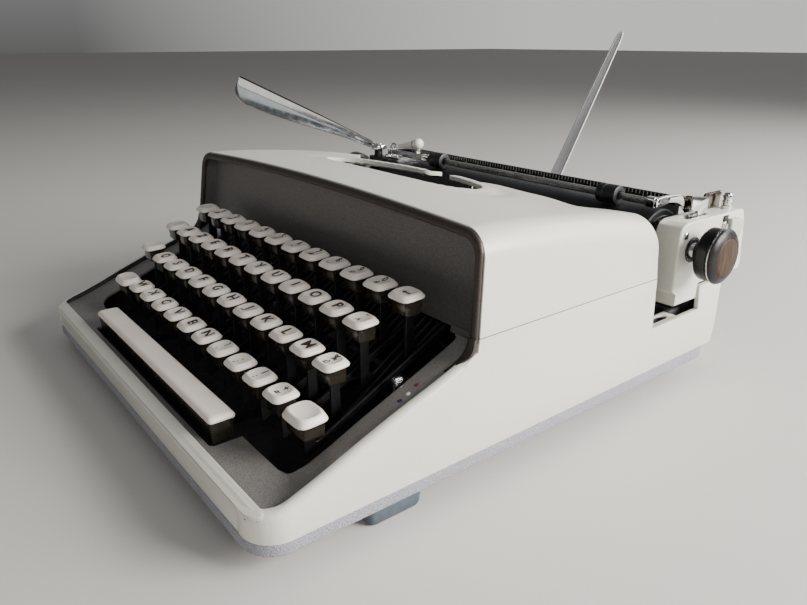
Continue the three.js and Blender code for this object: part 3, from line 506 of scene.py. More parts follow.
def prism(axis, pts, a0, a1):
    n = len(pts)
    area = sum(pts[i][0] * pts[(i + 1) % n][1] - pts[(i + 1) % n][0] * pts[i][1] for i in range(n))
    if area < 0:
        pts = pts[::-1]
    put = {"x": lambda a, b, c: (c, a, b), "y": lambda a, b, c: (a, c, b), "z": lambda a, b, c: (a, b, c)}[axis]
    v = [put(a, b, a0) for a, b in pts] + [put(a, b, a1) for a, b in pts]
    f = [tuple(range(n))[::-1], tuple(range(n, 2 * n))] + [(i, (i + 1) % n, n + (i + 1) % n, n + i) for i in range(n)]
    if axis == "y":
        f = [t[::-1] for t in f]
    return v, f


def frame_of(axis):
    return {"x": (Vector((1, 0, 0)), Vector((0, 1, 0)), Vector((0, 0, 1))),
            "y": (Vector((0, 1, 0)), Vector((0, 0, 1)), Vector((1, 0, 0))),
            "z": (Vector((0, 0, 1)), Vector((1, 0, 0)), Vector((0, 1, 0)))}[axis]


def centre(axis, a, u, v):
    return {"x": Vector((a, u, v)), "y": Vector((u, a, v)), "z": Vector((u, v, a))}[axis]


def lathe(axis, prof, u, v, seg=48):
    """prof is a closed loop of (radius, height), or an open one that starts and ends on the axis."""
    d, e, g = frame_of(axis)
    closed = prof[0][0] > 1e-6 or prof[-1][0] > 1e-6
    verts, faces, rows = [], [], []
    for r, h in prof:
        c = centre(axis, h, u, v)
        if r < 1e-6:
            rows.append([len(verts)])
            verts.append(tuple(c))
        else:
            rows.append(list(range(len(verts), len(verts) + seg)))
            for i in range(seg):
                t = 2 * math.pi * i / seg
                verts.append(tuple(c + e * (r * math.cos(t)) + g * (r * math.sin(t))))
    m = len(prof)
    for k in range(m if closed else m - 1):
        a, b = rows[k], rows[(k + 1) % m]
        for i in range(seg):
            j = (i + 1) % seg
            if len(a) == 1 and len(b) == 1:
                continue
            if len(a) == 1:
                faces.append((a[0], b[j], b[i]))
            elif len(b) == 1:
                faces.append((a[i], a[j], b[0]))
            else:
                faces.append((a[i], a[j], b[j], b[i]))
    return verts, faces


def rod(axis, r, a0, a1, u, v, seg=32, ch=0.0):
    if ch:
        return lathe(axis, [(0, a0), (r - ch, a0), (r, a0 + ch), (r, a1 - ch), (r - ch, a1), (0, a1)], u, v, seg)
    return lathe(axis, [(0, a0), (r, a0), (r, a1), (0, a1)], u, v, seg)


def loft(rings, cap=True, closed=True):
    n = len(rings[0])
    v = [tuple(p) for r in rings for p in r]
    f = []
    for i in range(len(rings) - 1):
        for j in range(n if closed else n - 1):
            k = (j + 1) % n
            f.append((i * n + j, i * n + k, (i + 1) * n + k, (i + 1) * n + j))
    if cap:
        f.append(tuple(range(n))[::-1])
        o = (len(rings) - 1) * n
        f.append(tuple(range(o, o + n)))
    return v, f


def tube(path, r, seg=16, cap=True):
    """round tube along a path; r is a number or one radius per point"""
    pts = [Vector(p) for p in path]
    rr = [r] * len(pts) if isinstance(r, (int, float)) else list(r)
    rings, ref = [], None
    for i, p in enumerate(pts):
        d = (pts[min(i + 1, len(pts) - 1)] - pts[max(i - 1, 0)]).normalized()
        if ref is None:
            ref = Vector((0, 0, 1)) if abs(d.z) < 0.9 else Vector((1, 0, 0))
        ref = (ref - d * ref.dot(d)).normalized()
        s = d.cross(ref)
        rings.append([tuple(p + ref * (rr[i] * math.cos(2 * math.pi * k / seg)) + s * (rr[i] * math.sin(2 * math.pi * k / seg))) for k in range(seg)])
    return loft(rings, cap)


def sheet(outer, inner):
    """closed shell between two grids of points"""
    nu, nv = len(outer), len(outer[0])
    v = [tuple(p) for g in (outer, inner) for row in g for p in row]
    A = lambda i, j: i * nv + j
    B = lambda i, j: nu * nv + i * nv + j
    f = []
    for i in range(nu - 1):
        for j in range(nv - 1):
            f.append((A(i, j), A(i + 1, j), A(i + 1, j + 1), A(i, j + 1)))
            f.append((B(i, j), B(i, j + 1), B(i + 1, j + 1), B(i + 1, j)))
    for i in range(nu - 1):
        f.append((A(i, 0), B(i, 0), B(i + 1, 0), A(i + 1, 0)))
        f.append((A(i, nv - 1), A(i + 1, nv - 1), B(i + 1, nv - 1), B(i, nv - 1)))
    for j in range(nv - 1):
        f.append((A(0, j), A(0, j + 1), B(0, j + 1), B(0, j)))
        f.append((A(nu - 1, j), B(nu - 1, j), B(nu - 1, j + 1), A(nu - 1, j + 1)))
    return v, f


def round_rect(x0, x1, y0, y1, r, n=10):
    rr = list(r) if isinstance(r, (list, tuple)) else [r] * 4
    out = []
    for cx, cy, a, q in ((x1 - rr[0], y0 + rr[0], -90, rr[0]), (x1 - rr[1], y1 - rr[1], 0, rr[1]),
                         (x0 + rr[2], y1 - rr[2], 90, rr[2]), (x0 + rr[3], y0 + rr[3], 180, rr[3])):
        for i in range(n + 1):
            t = math.radians(a + 90 * i / n)
            out.append((cx + q * math.cos(t), cy + q * math.sin(t)))
    return out


def fillet(pts, r, n=6):
    """polygon with rounded corners; r is one radius or one per corner (0 keeps a corner sharp)"""
    m = len(pts)
    rr = [r] * m if isinstance(r, (int, float)) else list(r)
    out = []
    for i in range(m):
        p, a, b = Vector(pts[i]), Vector(pts[i - 1]), Vector(pts[(i + 1) % m])
        da, db = (a - p), (b - p)
        la, lb = da.length, db.length
        if rr[i] <= 0 or la < 1e-6 or lb < 1e-6:
            out.append(tuple(p)); continue
        da.normalize(); db.normalize()
        ang = math.acos(max(-1, min(1, da.dot(db))))
        if ang > math.pi - 0.02:
            out.append(tuple(p)); continue
        t = min(rr[i] / math.tan(ang / 2), la * 0.48, lb * 0.48)
        rad = t * math.tan(ang / 2)
        c = p + (da + db).normalized() * (rad / math.sin(ang / 2))
        s, e = p + da * t, p + db * t
        a0 = math.atan2(s.y - c.y, s.x - c.x); a1 = math.atan2(e.y - c.y, e.x - c.x)
        d = (a1 - a0 + math.pi) % (2 * math.pi) - math.pi
        for k in range(n + 1):
            q = a0 + d * k / n
            out.append((c.x + rad * math.cos(q), c.y + rad * math.sin(q)))
    return out


def interp(t, xs, ys):
    return float(np.interp(t, xs, ys))


def smooth_curve(pts, n):
    """Catmull-Rom through the points, n steps each"""
    P = [Vector(p) for p in pts]
    out = []
    for i in range(len(P) - 1):
        p0, p1, p2, p3 = P[max(i - 1, 0)], P[i], P[i + 1], P[min(i + 2, len(P) - 1)]
        for k in range(n):
            t = k / n
            out.append(0.5 * ((2 * p1) + (p2 - p0) * t + (2 * p0 - 5 * p1 + 4 * p2 - p3) * t * t + (3 * p1 - p0 - 3 * p2 + p3) * t ** 3))
    out.append(P[-1])
    return [tuple(p) for p in out]


def turn(part, axis, deg, origin):
    m = Matrix.Translation(Vector(origin)) @ Matrix.Rotation(math.radians(deg), 4, axis) @ Matrix.Translation(-Vector(origin))
    return [tuple(m @ Vector(p)) for p in part[0]], part[1]


def flip(part):
    return part[0], [t[::-1] for t in part[1]]


def raw_object(name, parts, mats, fix=True):
    """parts: (verts, faces) or ((verts, faces), material index)"""
    verts, faces, mi = [], [], []
    for p in parts:
        if len(p) == 2 and isinstance(p[1], int):
            (v, f), k = p
        else:
            (v, f), k = p, 0
        o = len(verts)
        verts += [T(q) for q in v]
        faces += [tuple(i + o for i in t) for t in f]
        mi += [k] * len(f)
    me = bpy.data.meshes.new(name)
    me.from_pydata(verts, [], faces)
    for m in mats:
        me.materials.append(MATS[m])
    me.polygons.foreach_set("material_index", mi)
    if fix:
        bm = bmesh.new()
        bm.from_mesh(me)
        bmesh.ops.recalc_face_normals(bm, faces=bm.faces)
        bm.to_mesh(me)
        bm.free()
    ob = bpy.data.objects.new(name, me)
    bpy.context.scene.collection.objects.link(ob)
    return ob


def apply_all(ob):
    dg = bpy.context.evaluated_depsgraph_get()
    dg.update()
    me = bpy.data.meshes.new_from_object(ob.evaluated_get(dg), preserve_all_data_layers=True, depsgraph=dg)
    old = ob.data
    ob.modifiers.clear()
    ob.data = me
    bpy.data.meshes.remove(old)
    return ob


def boolean(ob, tools, op="DIFFERENCE", solver="EXACT"):
    """tools are parts in design millimetres; each is cut from (or joined to) ob in turn"""
    for k, t in enumerate(tools):
        tool = raw_object("tool", [t], [])
        m = ob.modifiers.new("b", "BOOLEAN")
        m.operation, m.solver, m.object = op, solver, tool
        apply_all(ob)
        bpy.data.objects.remove(tool)
    return ob


def bevel(ob, width, seg=3, angle=30, profile=0.5, clamp=True):
    m = ob.modifiers.new("bevel", "BEVEL")
    m.width, m.segments, m.limit_method, m.angle_limit = width / 1000, seg, "ANGLE", math.radians(angle)
    m.profile, m.use_clamp_overlap, m.harden_normals, m.miter_outer = profile, clamp, False, "MITER_SHARP"
    return apply_all(ob)


def finish_piece(ob, body, replaces=(), smooth=32):
    me = ob.data
    me.name = ob.name
    me.polygons.foreach_set("use_smooth", [True] * len(me.polygons))
    me.set_sharp_from_angle(angle=math.radians(smooth))
    me.update()
    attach(ob, body)
    if replaces:
        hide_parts(*replaces)
    return ob


def piece(name, parts, mats, body, replaces=(), bev=0.0, seg=3, ang=30, smooth=32, sub=0, cuts=()):
    mats = [mats] if isinstance(mats, str) else mats
    ob = raw_object(name, parts, mats)
    if cuts:
        boolean(ob, cuts)
    if bev:
        bevel(ob, bev, seg, ang)
    if sub:
        m = ob.modifiers.new("s", "SUBSURF")
        m.levels = m.render_levels = sub
        apply_all(ob)
    return finish_piece(ob, body, replaces, smooth)


def union_piece(name, parts, mats, body, replaces=(), bev=0.0, seg=3, ang=30, smooth=32, cuts=(), inter=()):
    """closed parts joined into one solid, then cut"""
    mats = [mats] if isinstance(mats, str) else mats
    ob = raw_object(name, [parts[0]], mats)
    if inter:
        boolean(ob, inter, "INTERSECT")
    for p in parts[1:]:
        boolean(ob, [p], "UNION")
    boolean(ob, cuts)
    if bev:
        bevel(ob, bev, seg, ang)
    return finish_piece(ob, body, replaces, smooth)


def keep_cad(name, mat, bev=0.35, seg=2, ang=35, smooth=32, weld=True, body=None, new=None):
    """a CAD solid whose shape is right, shown as a bevelled copy with its own finish"""
    me = nodes[name].data.copy()
    bm = bmesh.new()
    bm.from_mesh(me)
    bmesh.ops.remove_doubles(bm, verts=bm.verts, dist=1e-6)
    bmesh.ops.dissolve_limit(bm, angle_limit=math.radians(1.0), verts=bm.verts, edges=bm.edges)
    bm.to_mesh(me)
    bm.free()
    me.materials.clear()
    me.materials.append(MATS[mat])
    me.polygons.foreach_set("material_index", [0] * len(me.polygons))
    ob = bpy.data.objects.new(new or (name + "_part"), me)
    bpy.context.scene.collection.objects.link(ob)
    if bev:
        bevel(ob, bev, seg, ang)
    return finish_piece(ob, body or nodes[name]["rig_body"], [name], smooth)


# ------------------------------------------------------------------ casing
HALF, WALL, RIM = 142.2, 2.5, 4.0
REAR_LOW, REAR_HIGH, SEAM = 298.0, 308.5, 71.0


def strip_top(y):
    return 15.5 + 2.2 * y / REAR_LOW


RIM_Y = [1.6, 5.7, 7.6, 15.5, 18, 28.1, 32, 45, 64.8, 85, 96, 100, 102, 103.4, 106.5]
RIM_Z = [27.5, 28.7, 28.8, 30.5, 31.2, 34.9, 36.4, 41.7, 49.3, 56.3, 60.5, 62.0, 63.4, 64.7, 64.8]


def rim_curve(n=3):
    """top edge of the side walls, front to back, in y and z"""
    ctrl = [(1.6, 27.5), (4.5, 28.3), (8.0, 28.75), (12, 29.5), (18, 31.2), (28.1, 34.9), (36.0, 38.0), (45, 41.7), (54.5, 45.4), (64.8, 49.3), (75, 52.8), (85, 56.3), (93, 59.3), (99.0, 61.7)]
    return [(p[0], p[1]) for p in smooth_curve([(a, b, 0) for a, b in ctrl], n)]


def depth(x, y, y0, y1, rf=14.0, rr=12.0, half=HALF):
    """distance inward from the rounded outline of the plan"""
    ax = abs(x)
    if ax > half - rf and y < y0 + rf:
        return rf - math.hypot(ax - half + rf, y - y0 - rf)
    if ax > half - rr and y > y1 - rr:
        return rr - math.hypot(ax - half + rr, y - y1 + rr)
    return min(half - ax, y - y0, y1 - y)


def paint(ob, test, mat):
    """give a second material to the faces that pass a test of centre and normal, in the design frame"""
    me = ob.data
    me.materials.append(MATS[mat])
    k = len(me.materials) - 1
    for p in me.polygons:
        c = p.center
        if test((c.x - DX) * 1000, (c.y - DY) * 1000, c.z * 1000, p.normal):
            p.material_index = k


def build_casing():
    # base pan
    plan = round_rect(-HALF + 0.2, HALF - 0.2, 1.8, REAR_LOW, [14, 12, 12, 14], 14)
    plan_in = round_rect(-HALF + 3.2, HALF - 3.2, 4.8, REAR_LOW - 3, [11, 9, 9, 11], 10)
    side = [(0, 10.3), (300, 10.3), (300, strip_top(300)), (0, strip_top(0))]
    vents = [prism("z", round_rect(-60 + i * 26, -44 + i * 26, 205, 210, 2.2, 5), 5, 14) for i in range(5)]
    pan = union_piece("base_pan_textured", [prism("z", plan, 10.3, 20)], "base_strip", "body", ["base_pan"], bev=0.5, seg=3,
                      inter=[prism("x", side, -150, 150)], cuts=[prism("z", plan_in, 12.3, 25)] + vents)
    # the inside of the base pan is painted near-black as shade
    paint(pan, lambda x, y, z, n: z > 11.0 and depth(x, y, 1.8, REAR_LOW, 14, 12, HALF - 0.2) > 2.6 and (n.z > 0.5 or z > 12.5), "inner_dark")
    # lower case: side profile, rounded plan, well and rear hollow
    top = rim_curve()
    prof = [(1.6, strip_top(0) + 0.3), (REAR_LOW, strip_top(298) + 0.3), (REAR_HIGH, 58.3), (276.5, 57.4), (278.0, 43.2), (234, 42.4), (232.3, 70.7), (106.4, 70.7), (105.8, 65.0), (102.6, 63.6), (100.6, 62.4)] + top[::-1]
    plan = round_rect(-HALF, HALF, 1.6, REAR_HIGH + 0.5, [14, 12, 12, 14], 12)
    well = prism("z", round_rect(-HALF + RIM, HALF - RIM, 1.6 + RIM, 120, [10, 2, 2, 10], 10), 5, 90)
    rear_side = [(104, 5), (REAR_LOW - 3.2, 5), (REAR_LOW - 3, 18), (REAR_HIGH - 3, 60), (REAR_HIGH - 3, 80), (104, 80)]
    ob = raw_object("lower_case_shell", [prism("x", prof, -HALF, HALF)], ["shell_cream"])
    boolean(ob, [prism("z", plan, 10, 80)], "INTERSECT")
    hollow = raw_object("h", [prism("x", rear_side, -HALF + WALL, HALF - WALL)], [])
    boolean(hollow, [prism("z", round_rect(-HALF + WALL, HALF - WALL, 100, REAR_HIGH - 2, [1, 9, 9, 1], 8), 0, 90)], "INTERSECT")
    m = ob.modifiers.new("b", "BOOLEAN"); m.operation, m.solver, m.object = "DIFFERENCE", "EXACT", hollow
    apply_all(ob)
    bpy.data.objects.remove(hollow)
    boolean(ob, [well])
    # the front wall sits a little back between two upright joint lines
    boolean(ob, [box(-126.2, 126.2, 0, 2.05, 14.8, 23.6), box(-126.5, -126.0, 0, 2.4, 14, 24.7), box(126.0, 126.5, 0, 2.4, 14, 24.7)])
    # the outer top edge of the rim is well rounded
    round_rim(ob)
    bevel(ob, 0.5, 2, 50, clamp=True)
    ob = finish_piece(ob, "body", ["lower_case"], 40) or ob
    # the inner walls of the keyboard well and of the rear hollow are painted near-black as shade
    paint(ob, lambda x, y, z, n: (y < 104 and depth(x, y, 1.6, 400) > 3.2 and z < np.interp(y, RIM_Y, RIM_Z) - 3.2 and n.z < 0.5) or (y >= 104 and depth(x, y, -100, np.interp(z, [17.7, 58.3], [REAR_LOW, REAR_HIGH])) > 2.25 and z < 80 and n.z < 0.8), "inner_dark")
    # pivot stud of the ribbon selector
    piece("selector_stud", [rod("x", 1.5, 117.9, 138.6, 81.2, 24, 24, 0.3)], "bright_steel", "body")
    # dark joint line between the two casing halves
    piece("casing_joint_line", [box(139.8, 142.21, 106.6, 232.6, 70.66, 71.02), box(-142.21, -139.8, 106.6, 232.6, 70.66, 71.02)], "inner_dark", "body", smooth=30)
    # a thin ledge across the bottom of each side notch, with a D-shaped hole
    sill = [box(131.0, 139.9, 234.2, 262.0, 41.1, 42.3), box(-139.9, -131.0, 234.2, 262.0, 41.1, 42.3)]
    holes = []
    for t in (1, -1):
        hx = [(t * a, b) for a, b in ((132.8, 242), (137.8, 242), (137.8, 253.5), (136.6, 256.2), (135.3, 257), (134.0, 256.2), (132.8, 253.5))]
        holes.append(prism("z", hx if t > 0 else hx[::-1], 38, 45))
    piece("notch_sill", sill, "shell_cream", "body", cuts=holes, bev=0.25, seg=2, ang=50, smooth=38)
    build_cover()
    build_panel()
    build_apron()
    for s, nm in ((-1, "left"), (1, "right")):
        for y, fr, xf in ((66, "front", 129), (262, "rear", 114)):
            x = s * xf
            rings = []
            for d, z in ((2.4, 0.0), (1.5, 0.25), (1.0, 0.9), (0.5, 2.2), (0.2, 6.0), (0.1, 9.4)):
                rings.append([(a, b, z) for a, b in round_rect(x - 10 + d, x + 10 - d, y - 14 + d, y + 14 - d, 3.0, 6)])
            cap = [loft(rings)]
            nm2 = "foot_%s_%s" % (fr, nm)
            piece(nm2 + "_rubber", cap, "rubber_feet", "body", [nm2], smooth=40)


def round_rim(ob, width=2.7):
    """bevel the outer top edge of the rim, all the way round the keyboard"""
    me = ob.data
    bm = bmesh.new()
    bm.from_mesh(me)
    bmesh.ops.remove_doubles(bm, verts=bm.verts, dist=1e-6)
    top = rim_curve()
    ty, tz = [p[0] for p in top], [p[1] for p in top]

    def on_top(v):
        x, y, z = (v.co.x - DX) * 1000, (v.co.y - DY) * 1000, v.co.z * 1000
        if y > 99.3 or abs(z - np.interp(y, ty, tz)) > 0.06:
            return False
        # on the outline of the plan
        cx, cy, r = HALF - 14, 15.6, 14
        if abs(x) > cx and y < cy:
            return abs(math.hypot(abs(x) - cx, y - cy) - r) < 0.08
        return abs(abs(x) - HALF) < 0.06 or abs(y - 1.6) < 0.06

    edges = [e for e in bm.edges if on_top(e.verts[0]) and on_top(e.verts[1]) and len(e.link_faces) == 2]
    bmesh.ops.bevel(bm, geom=edges, offset=width / 1000, offset_type="OFFSET", segments=6, profile=0.5, affect="EDGES", clamp_overlap=False)
    bmesh.ops.triangulate(bm, faces=[f for f in bm.faces if len(f.verts) > 4])
    for v in bm.verts:
        x, y = (v.co.x - DX) * 1000, (v.co.y - DY) * 1000
        y = max(y, 1.8)
        cx, cy, r = HALF - 14, 15.8, 14
        if abs(x) > cx and y < cy:
            h = math.hypot(abs(x) - cx, y - cy)
            if h > r:
                x, y = math.copysign(cx + (abs(x) - cx) * r / h, x), cy + (y - cy) * r / h
        x = max(-HALF, min(HALF, x))
        v.co.x, v.co.y = x / 1000 + DX, y / 1000 + DY
    bm.to_mesh(me)
    bm.free()


TOP_Y = [104, 111, 125, 140, 155, 171, 187.5, 205, 218, 232]
TOP_Z = [115.0, 114.9, 114.6, 113.5, 112.2, 110.9, 109.0, 106.6, 104.6, 102.0]
_tc = np.polyfit(TOP_Y, TOP_Z, 4)


def cover_top(y):
    return float(np.polyval(_tc, y)) if 108 < y < 230 else interp(y, TOP_Y, TOP_Z)


def side_x(z):
    return HALF - 0.09 * (z - SEAM)


def section(y, off=0.0, z_bottom=SEAM, n_arc=12, n_top=26, n_side=6, dr=0.0):
    t = min(1.0, max(0.0, (y - 150) / 66))
    zt = cover_top(y) - off
    R = 13 + dr + 4 * min(1.0, max(0.0, (y - 111) / 121)) - off * 0.8
    xw = side_x(zt - R) - off
    cx, crown = xw - R, 3.2 * (1 - t)
    pts = []
    x0 = side_x(z_bottom) - off
    for i in range(n_side):
        k = i / n_side
        pts.append((x0 + (xw - x0) * k, z_bottom + (zt - R - z_bottom) * k))
    for i in range(n_arc + 1):
        a = math.radians(90.0 * i / n_arc)
        pts.append((cx + R * math.cos(a), zt - R + R * math.sin(a)))
    for i in range(1, n_top + 1):
        x = cx * (1 - i / n_top)
        pts.append((x, zt + crown * (1 - (x / cx) ** 2)))
    return pts + [(-x, z) for x, z in pts[:-1][::-1]]


OPENING = [(-62, 163), (-48, 157.5), (-20, 155.5), (20, 155.5), (48, 157.5), (62, 163), (67, 172), (64, 182), (52, 191), (32, 199), (12, 204.5), (8.5, 208.5), (8.5, 222),
           (-8.5, 222), (-8.5, 208.5), (-12, 204.5), (-32, 199), (-52, 191), (-64, 182), (-67, 172)]


def opening_outline(n=6):
    """smooth outline of the type opening with the slot at the printing point"""
    half = [(0, 155.4), (20, 155.6), (48, 157.8), (62, 163.2), (66.6, 172), (63.5, 181.5), (52, 190.6), (32, 198.6), (14, 203.6)]
    c = smooth_curve([(a, b, 0) for a, b in half], n)
    right = [(p[0], p[1]) for p in c]
    # rounded tip of each tongue
    tip = [(11.2, 204.9), (9.6, 206.6), (8.7, 209.2), (8.5, 212), (8.5, 224)]
    right = right + tip
    left = [(-x, y) for x, y in right[::-1]]
    return right + left[:-1]


def seg_dist(px, py, outline):
    a = np.array(outline); b = np.roll(a, -1, axis=0)
    d = b - a
    L = (d ** 2).sum(1)
    P = np.stack([px, py], -1)[..., None, :]
    t = np.clip(((P - a) * d).sum(-1) / np.maximum(L, 1e-9), 0, 1)
    q = a + t[..., None] * d
    return np.sqrt(((P - q) ** 2).sum(-1)).min(-1)


def build_cover():
    out = opening_outline()
    ys = np.concatenate([np.linspace(0, 0.04, 4)[:-1], np.linspace(0.04, 1, 66)])
    lip_out = [p for p in out if p[1] < 215]

    def grid_of(off):
        rows = []
        for v in ys:
            y_mid = 106.6 + v * (232 - 106.6)
            row = []
            for x, z in section(y_mid, off):
                yf = 106.5 + 0.12 * (z - SEAM)
                row.append([x, yf + v * (232 - yf), z])
            rows.append(row)
        g = np.array(rows)
        # the raised lip that runs round the opening and dies away towards the ends of the rear bar
        X, Y, Z = g[..., 0], g[..., 1], g[..., 2]
        near = (np.abs(X) < 118) & (Z > 96)
        d = np.full(X.shape, 99.0)
        d[near] = seg_dist(X[near], Y[near], out)
        back = np.clip((Y - 176) / 14, 0, 1)
        front = np.clip((Y - 150) / 10, 0, 1)
        lip = 1.5 * np.exp(-((d - 3.2) / 3.4) ** 2) * (0.35 + 0.65 * back)
        lip *= np.clip((118 - np.abs(X)) / 20, 0, 1)
        dish = -0.9 * np.exp(-((d - 11.5) / 5.0) ** 2) * np.clip((Y - 152) / 12, 0, 1)
        # a roll of the edge down into the hole; it is weighted by zero below, so it is not applied
        roll = -1.6 * np.clip((2.0 - d) / 2.0, 0, 1) ** 2
        Z += np.where(near, lip + dish + roll * 0.0, 0)
        # the surface dips slightly in front of the ends of the rear edge, and lifts towards the opening
        back2 = np.clip((Y - 184) / 30, 0, 1) ** 1.5
        Z += np.where(Z > 90, -1.5 * np.exp(-((np.abs(X) - 99) / 13.0) ** 2) * back2 + 0.9 * np.exp(-((np.abs(X) - 36) / 22.0) ** 2) * back2, 0)
        return [[tuple(g[j, i]) for j in range(g.shape[0])] for i in range(g.shape[1])]

    ob = raw_object("top_cover_shell", [sheet(grid_of(0), grid_of(WALL))], ["shell_cream"])
    rear = [(-126, 240), (-124, 232), (-121, 228.6), (-118, 226), (-110, 220.5), (-101, 217), (-92, 216), (92, 216), (101, 217), (110, 220.5), (118, 226), (121, 228.6), (124, 232), (126, 240)]
    rear = [(p[0], p[1]) for p in smooth_curve([(a, b, 0) for a, b in rear], 4)]
    boolean(ob, [prism("z", out, 80, 140), prism("z", rear, 85, 140)])
    bevel(ob, 0.95, 4, 50, clamp=True)
    finish_piece(ob, "body", ["top_cover"], 40)


def shear(part, k=0.12, z0=65.2):
    return [(x, y + k * (z - z0), z) for x, y, z in part[0]], part[1]


def build_panel():
    arc = dict(n_arc=10, n_top=14, n_side=4)
    out = section(108, 0.75, 69.6, dr=-1.8, **arc)
    inn = section(108, 4.6, 69.6, dr=-1.0, **arc)
    wall_o = section(108, 3.0, 65.3, dr=-1.2, **arc)
    tail = [(69.2, 0.1, 0.0), (68.8, 0.3, 0.0)]
    xo, xi = out[0][0], inn[0][0]
    extra = [(xo - 3.4 * t, z, s2) for z, s2, t in tail]
    extra_i = [(xi - 3.0 * t, z, s2) for z, s2, t in tail]
    o = [(x, z, d) for x, z, d in extra[::-1]] + [(x, z, 0.0) for x, z in out] + [(-x, z, d) for x, z, d in extra]
    i2 = [(x, z, d) for x, z, d in extra_i[::-1]] + [(x, z, 0.0) for x, z in inn] + [(-x, z, d) for x, z, d in extra_i]
    o, i2 = np.array(o), np.array(i2)
    n = len(o)
    rings = []
    prof = ((0.0, 106.4), (0.0, 105.0), (0.06, 104.35), (0.16, 103.98), (0.34, 103.83), (0.55, 103.8), (0.74, 103.85), (0.88, 104.1), (0.96, 104.5), (1.0, 105.0), (1.0, 105.8))
    for k, y in prof:
        pts = i2 + (o - i2) * k
        # the flange keeps one profile out to its tips, whose two tail points sit 0.1 and 0.3 mm further back
        rings.append([(p[0], 104.3 + (y - 104.3) * 1.0 + p[2] + 0.12 * (p[1] - 65.2), p[1]) for p in pts])
    v, f = [tuple(p) for r in rings for p in r], []
    m = len(rings)
    for a in range(m):
        b = (a + 1) % m
        for j in range(n - 1):
            f.append((a * n + j, a * n + j + 1, b * n + j + 1, b * n + j))
    f.append(tuple(a * n for a in range(m)))
    f.append(tuple(a * n + n - 1 for a in range(m))[::-1])
    piece("front_panel_flange", [(v, f)], "panel_rim", "body", [], smooth=45)
    # recessed tub
    tub = raw_object("front_panel_plate", [shear(prism("y", wall_o, 105.1, 103.8 + 8.6 + 2))], ["panel_dark"])
    boolean(tub, [shear(prism("y", section(108, 4.6, 60, dr=-1.0, **arc), 100, 103.8 + 8.6)), shear(box(-150, 150, 103.8 + 8.6 - 0.5, 120, 60, 67.2))])
    bevel(tub, 0.8, 3, 40)
    finish_piece(tub, "body", ["front_panel"], 34)
    # short skirts close the plate down to the side bands
    for s, nm in ((1, "right"), (-1, "left")):
        x0, x1 = (117.5, 137.4) if s > 0 else (-137.4, -117.5)
        piece("front_panel_skirt_" + nm, [shear(box(x0, x1, 112.3, 114.0, 64.6, 67.9))], "panel_dark", "body", smooth=30)
    build_corners()


CORNER = [((138.1, 92.6, 56.8), (134.0, 94.0, 57.3)), ((138.3, 94.6, 58.9), (134.3, 95.8, 58.1)), ((138.9, 96.4, 60.8), (134.7, 97.4, 59.0)), ((139.8, 98.0, 61.85), (135.2, 99.0, 60.3)), ((140.8, 99.6, 62.75), (135.9, 100.4, 61.7)),
          ((141.5, 101.0, 63.8), (136.5, 101.5, 63.2)), ((141.85, 102.2, 65.2), (136.9, 102.5, 64.8)), ((141.85, 103.1, 66.8), (137.2, 103.3, 66.6)), ((141.75, 103.7, 68.7), (137.3, 103.8, 68.6)), ((141.6, 104.1, 70.8), (137.2, 104.15, 70.8))]


def build_corners():
    """at each end the flange curves forward, widens over the rim and runs into the side band"""
    o = smooth_curve([c[0] for c in CORNER], 4)
    i = smooth_curve([c[1] for c in CORNER], 4)
    for s, nm in ((1, "right"), (-1, "left")):
        top, low = [], []
        ks = (0.0, 0.04, 0.12, 0.28, 0.5, 0.72, 0.88, 0.96, 1.0)
        m = len(o)
        for k in ks:
            a, b = [], []
            for j in range(m):
                t = j / (m - 1)
                P = Vector(o[j]) * (1 - k) + Vector(i[j]) * k
                P0 = Vector(o[max(0, j - 1)])
                d = (Vector(o[min(m - 1, j + 1)]) - P0).normalized()
                nrm = Vector((0, -d.z, d.y)).normalized()
                lift = 0.30 * (1 - (2 * k - 1) ** 4) - 0.12
                P = P + nrm * lift
                Q = P - nrm * (1.5 + lift)
                a.append((s * P.x, P.y, P.z))
                b.append((s * Q.x, Q.y, Q.z))
            top.append(a)
            low.append(b)
        g = sheet(top, low)
        piece("front_panel_corner_" + nm, [g if s > 0 else flip(g)], "panel_rim", "body", smooth=50)


BAND_Y = [6.0, 15.5, 25.6, 30, 34.5, 44, 58.5, 79, 95, 103.5, 106.4, 112]
BAND_Z = [26.8, 26.8, 26.8, 30.2, 31.9, 35.7, 42.2, 50.6, 57.4, 61.0, 62.4, 65.3]
BAND_OUT, BAND_IN = 138.1, 124.0


def band_height(y, k):
    """height of the side band at y, from its outer edge (k = 0) to its inner edge (k = 1)"""
    zo = max(26.8, interp(y, RIM_Y[:12], RIM_Z[:12]) - 3.0) if y < 100 else 59.0 + (y - 100) * 0.5
    zi = interp(y, BAND_Y, BAND_Z)
    return zo + (zi - zo) * k + 0.35 * math.sin(math.pi * min(1, max(0, k))) * (1 if y > 30 else 0.3)


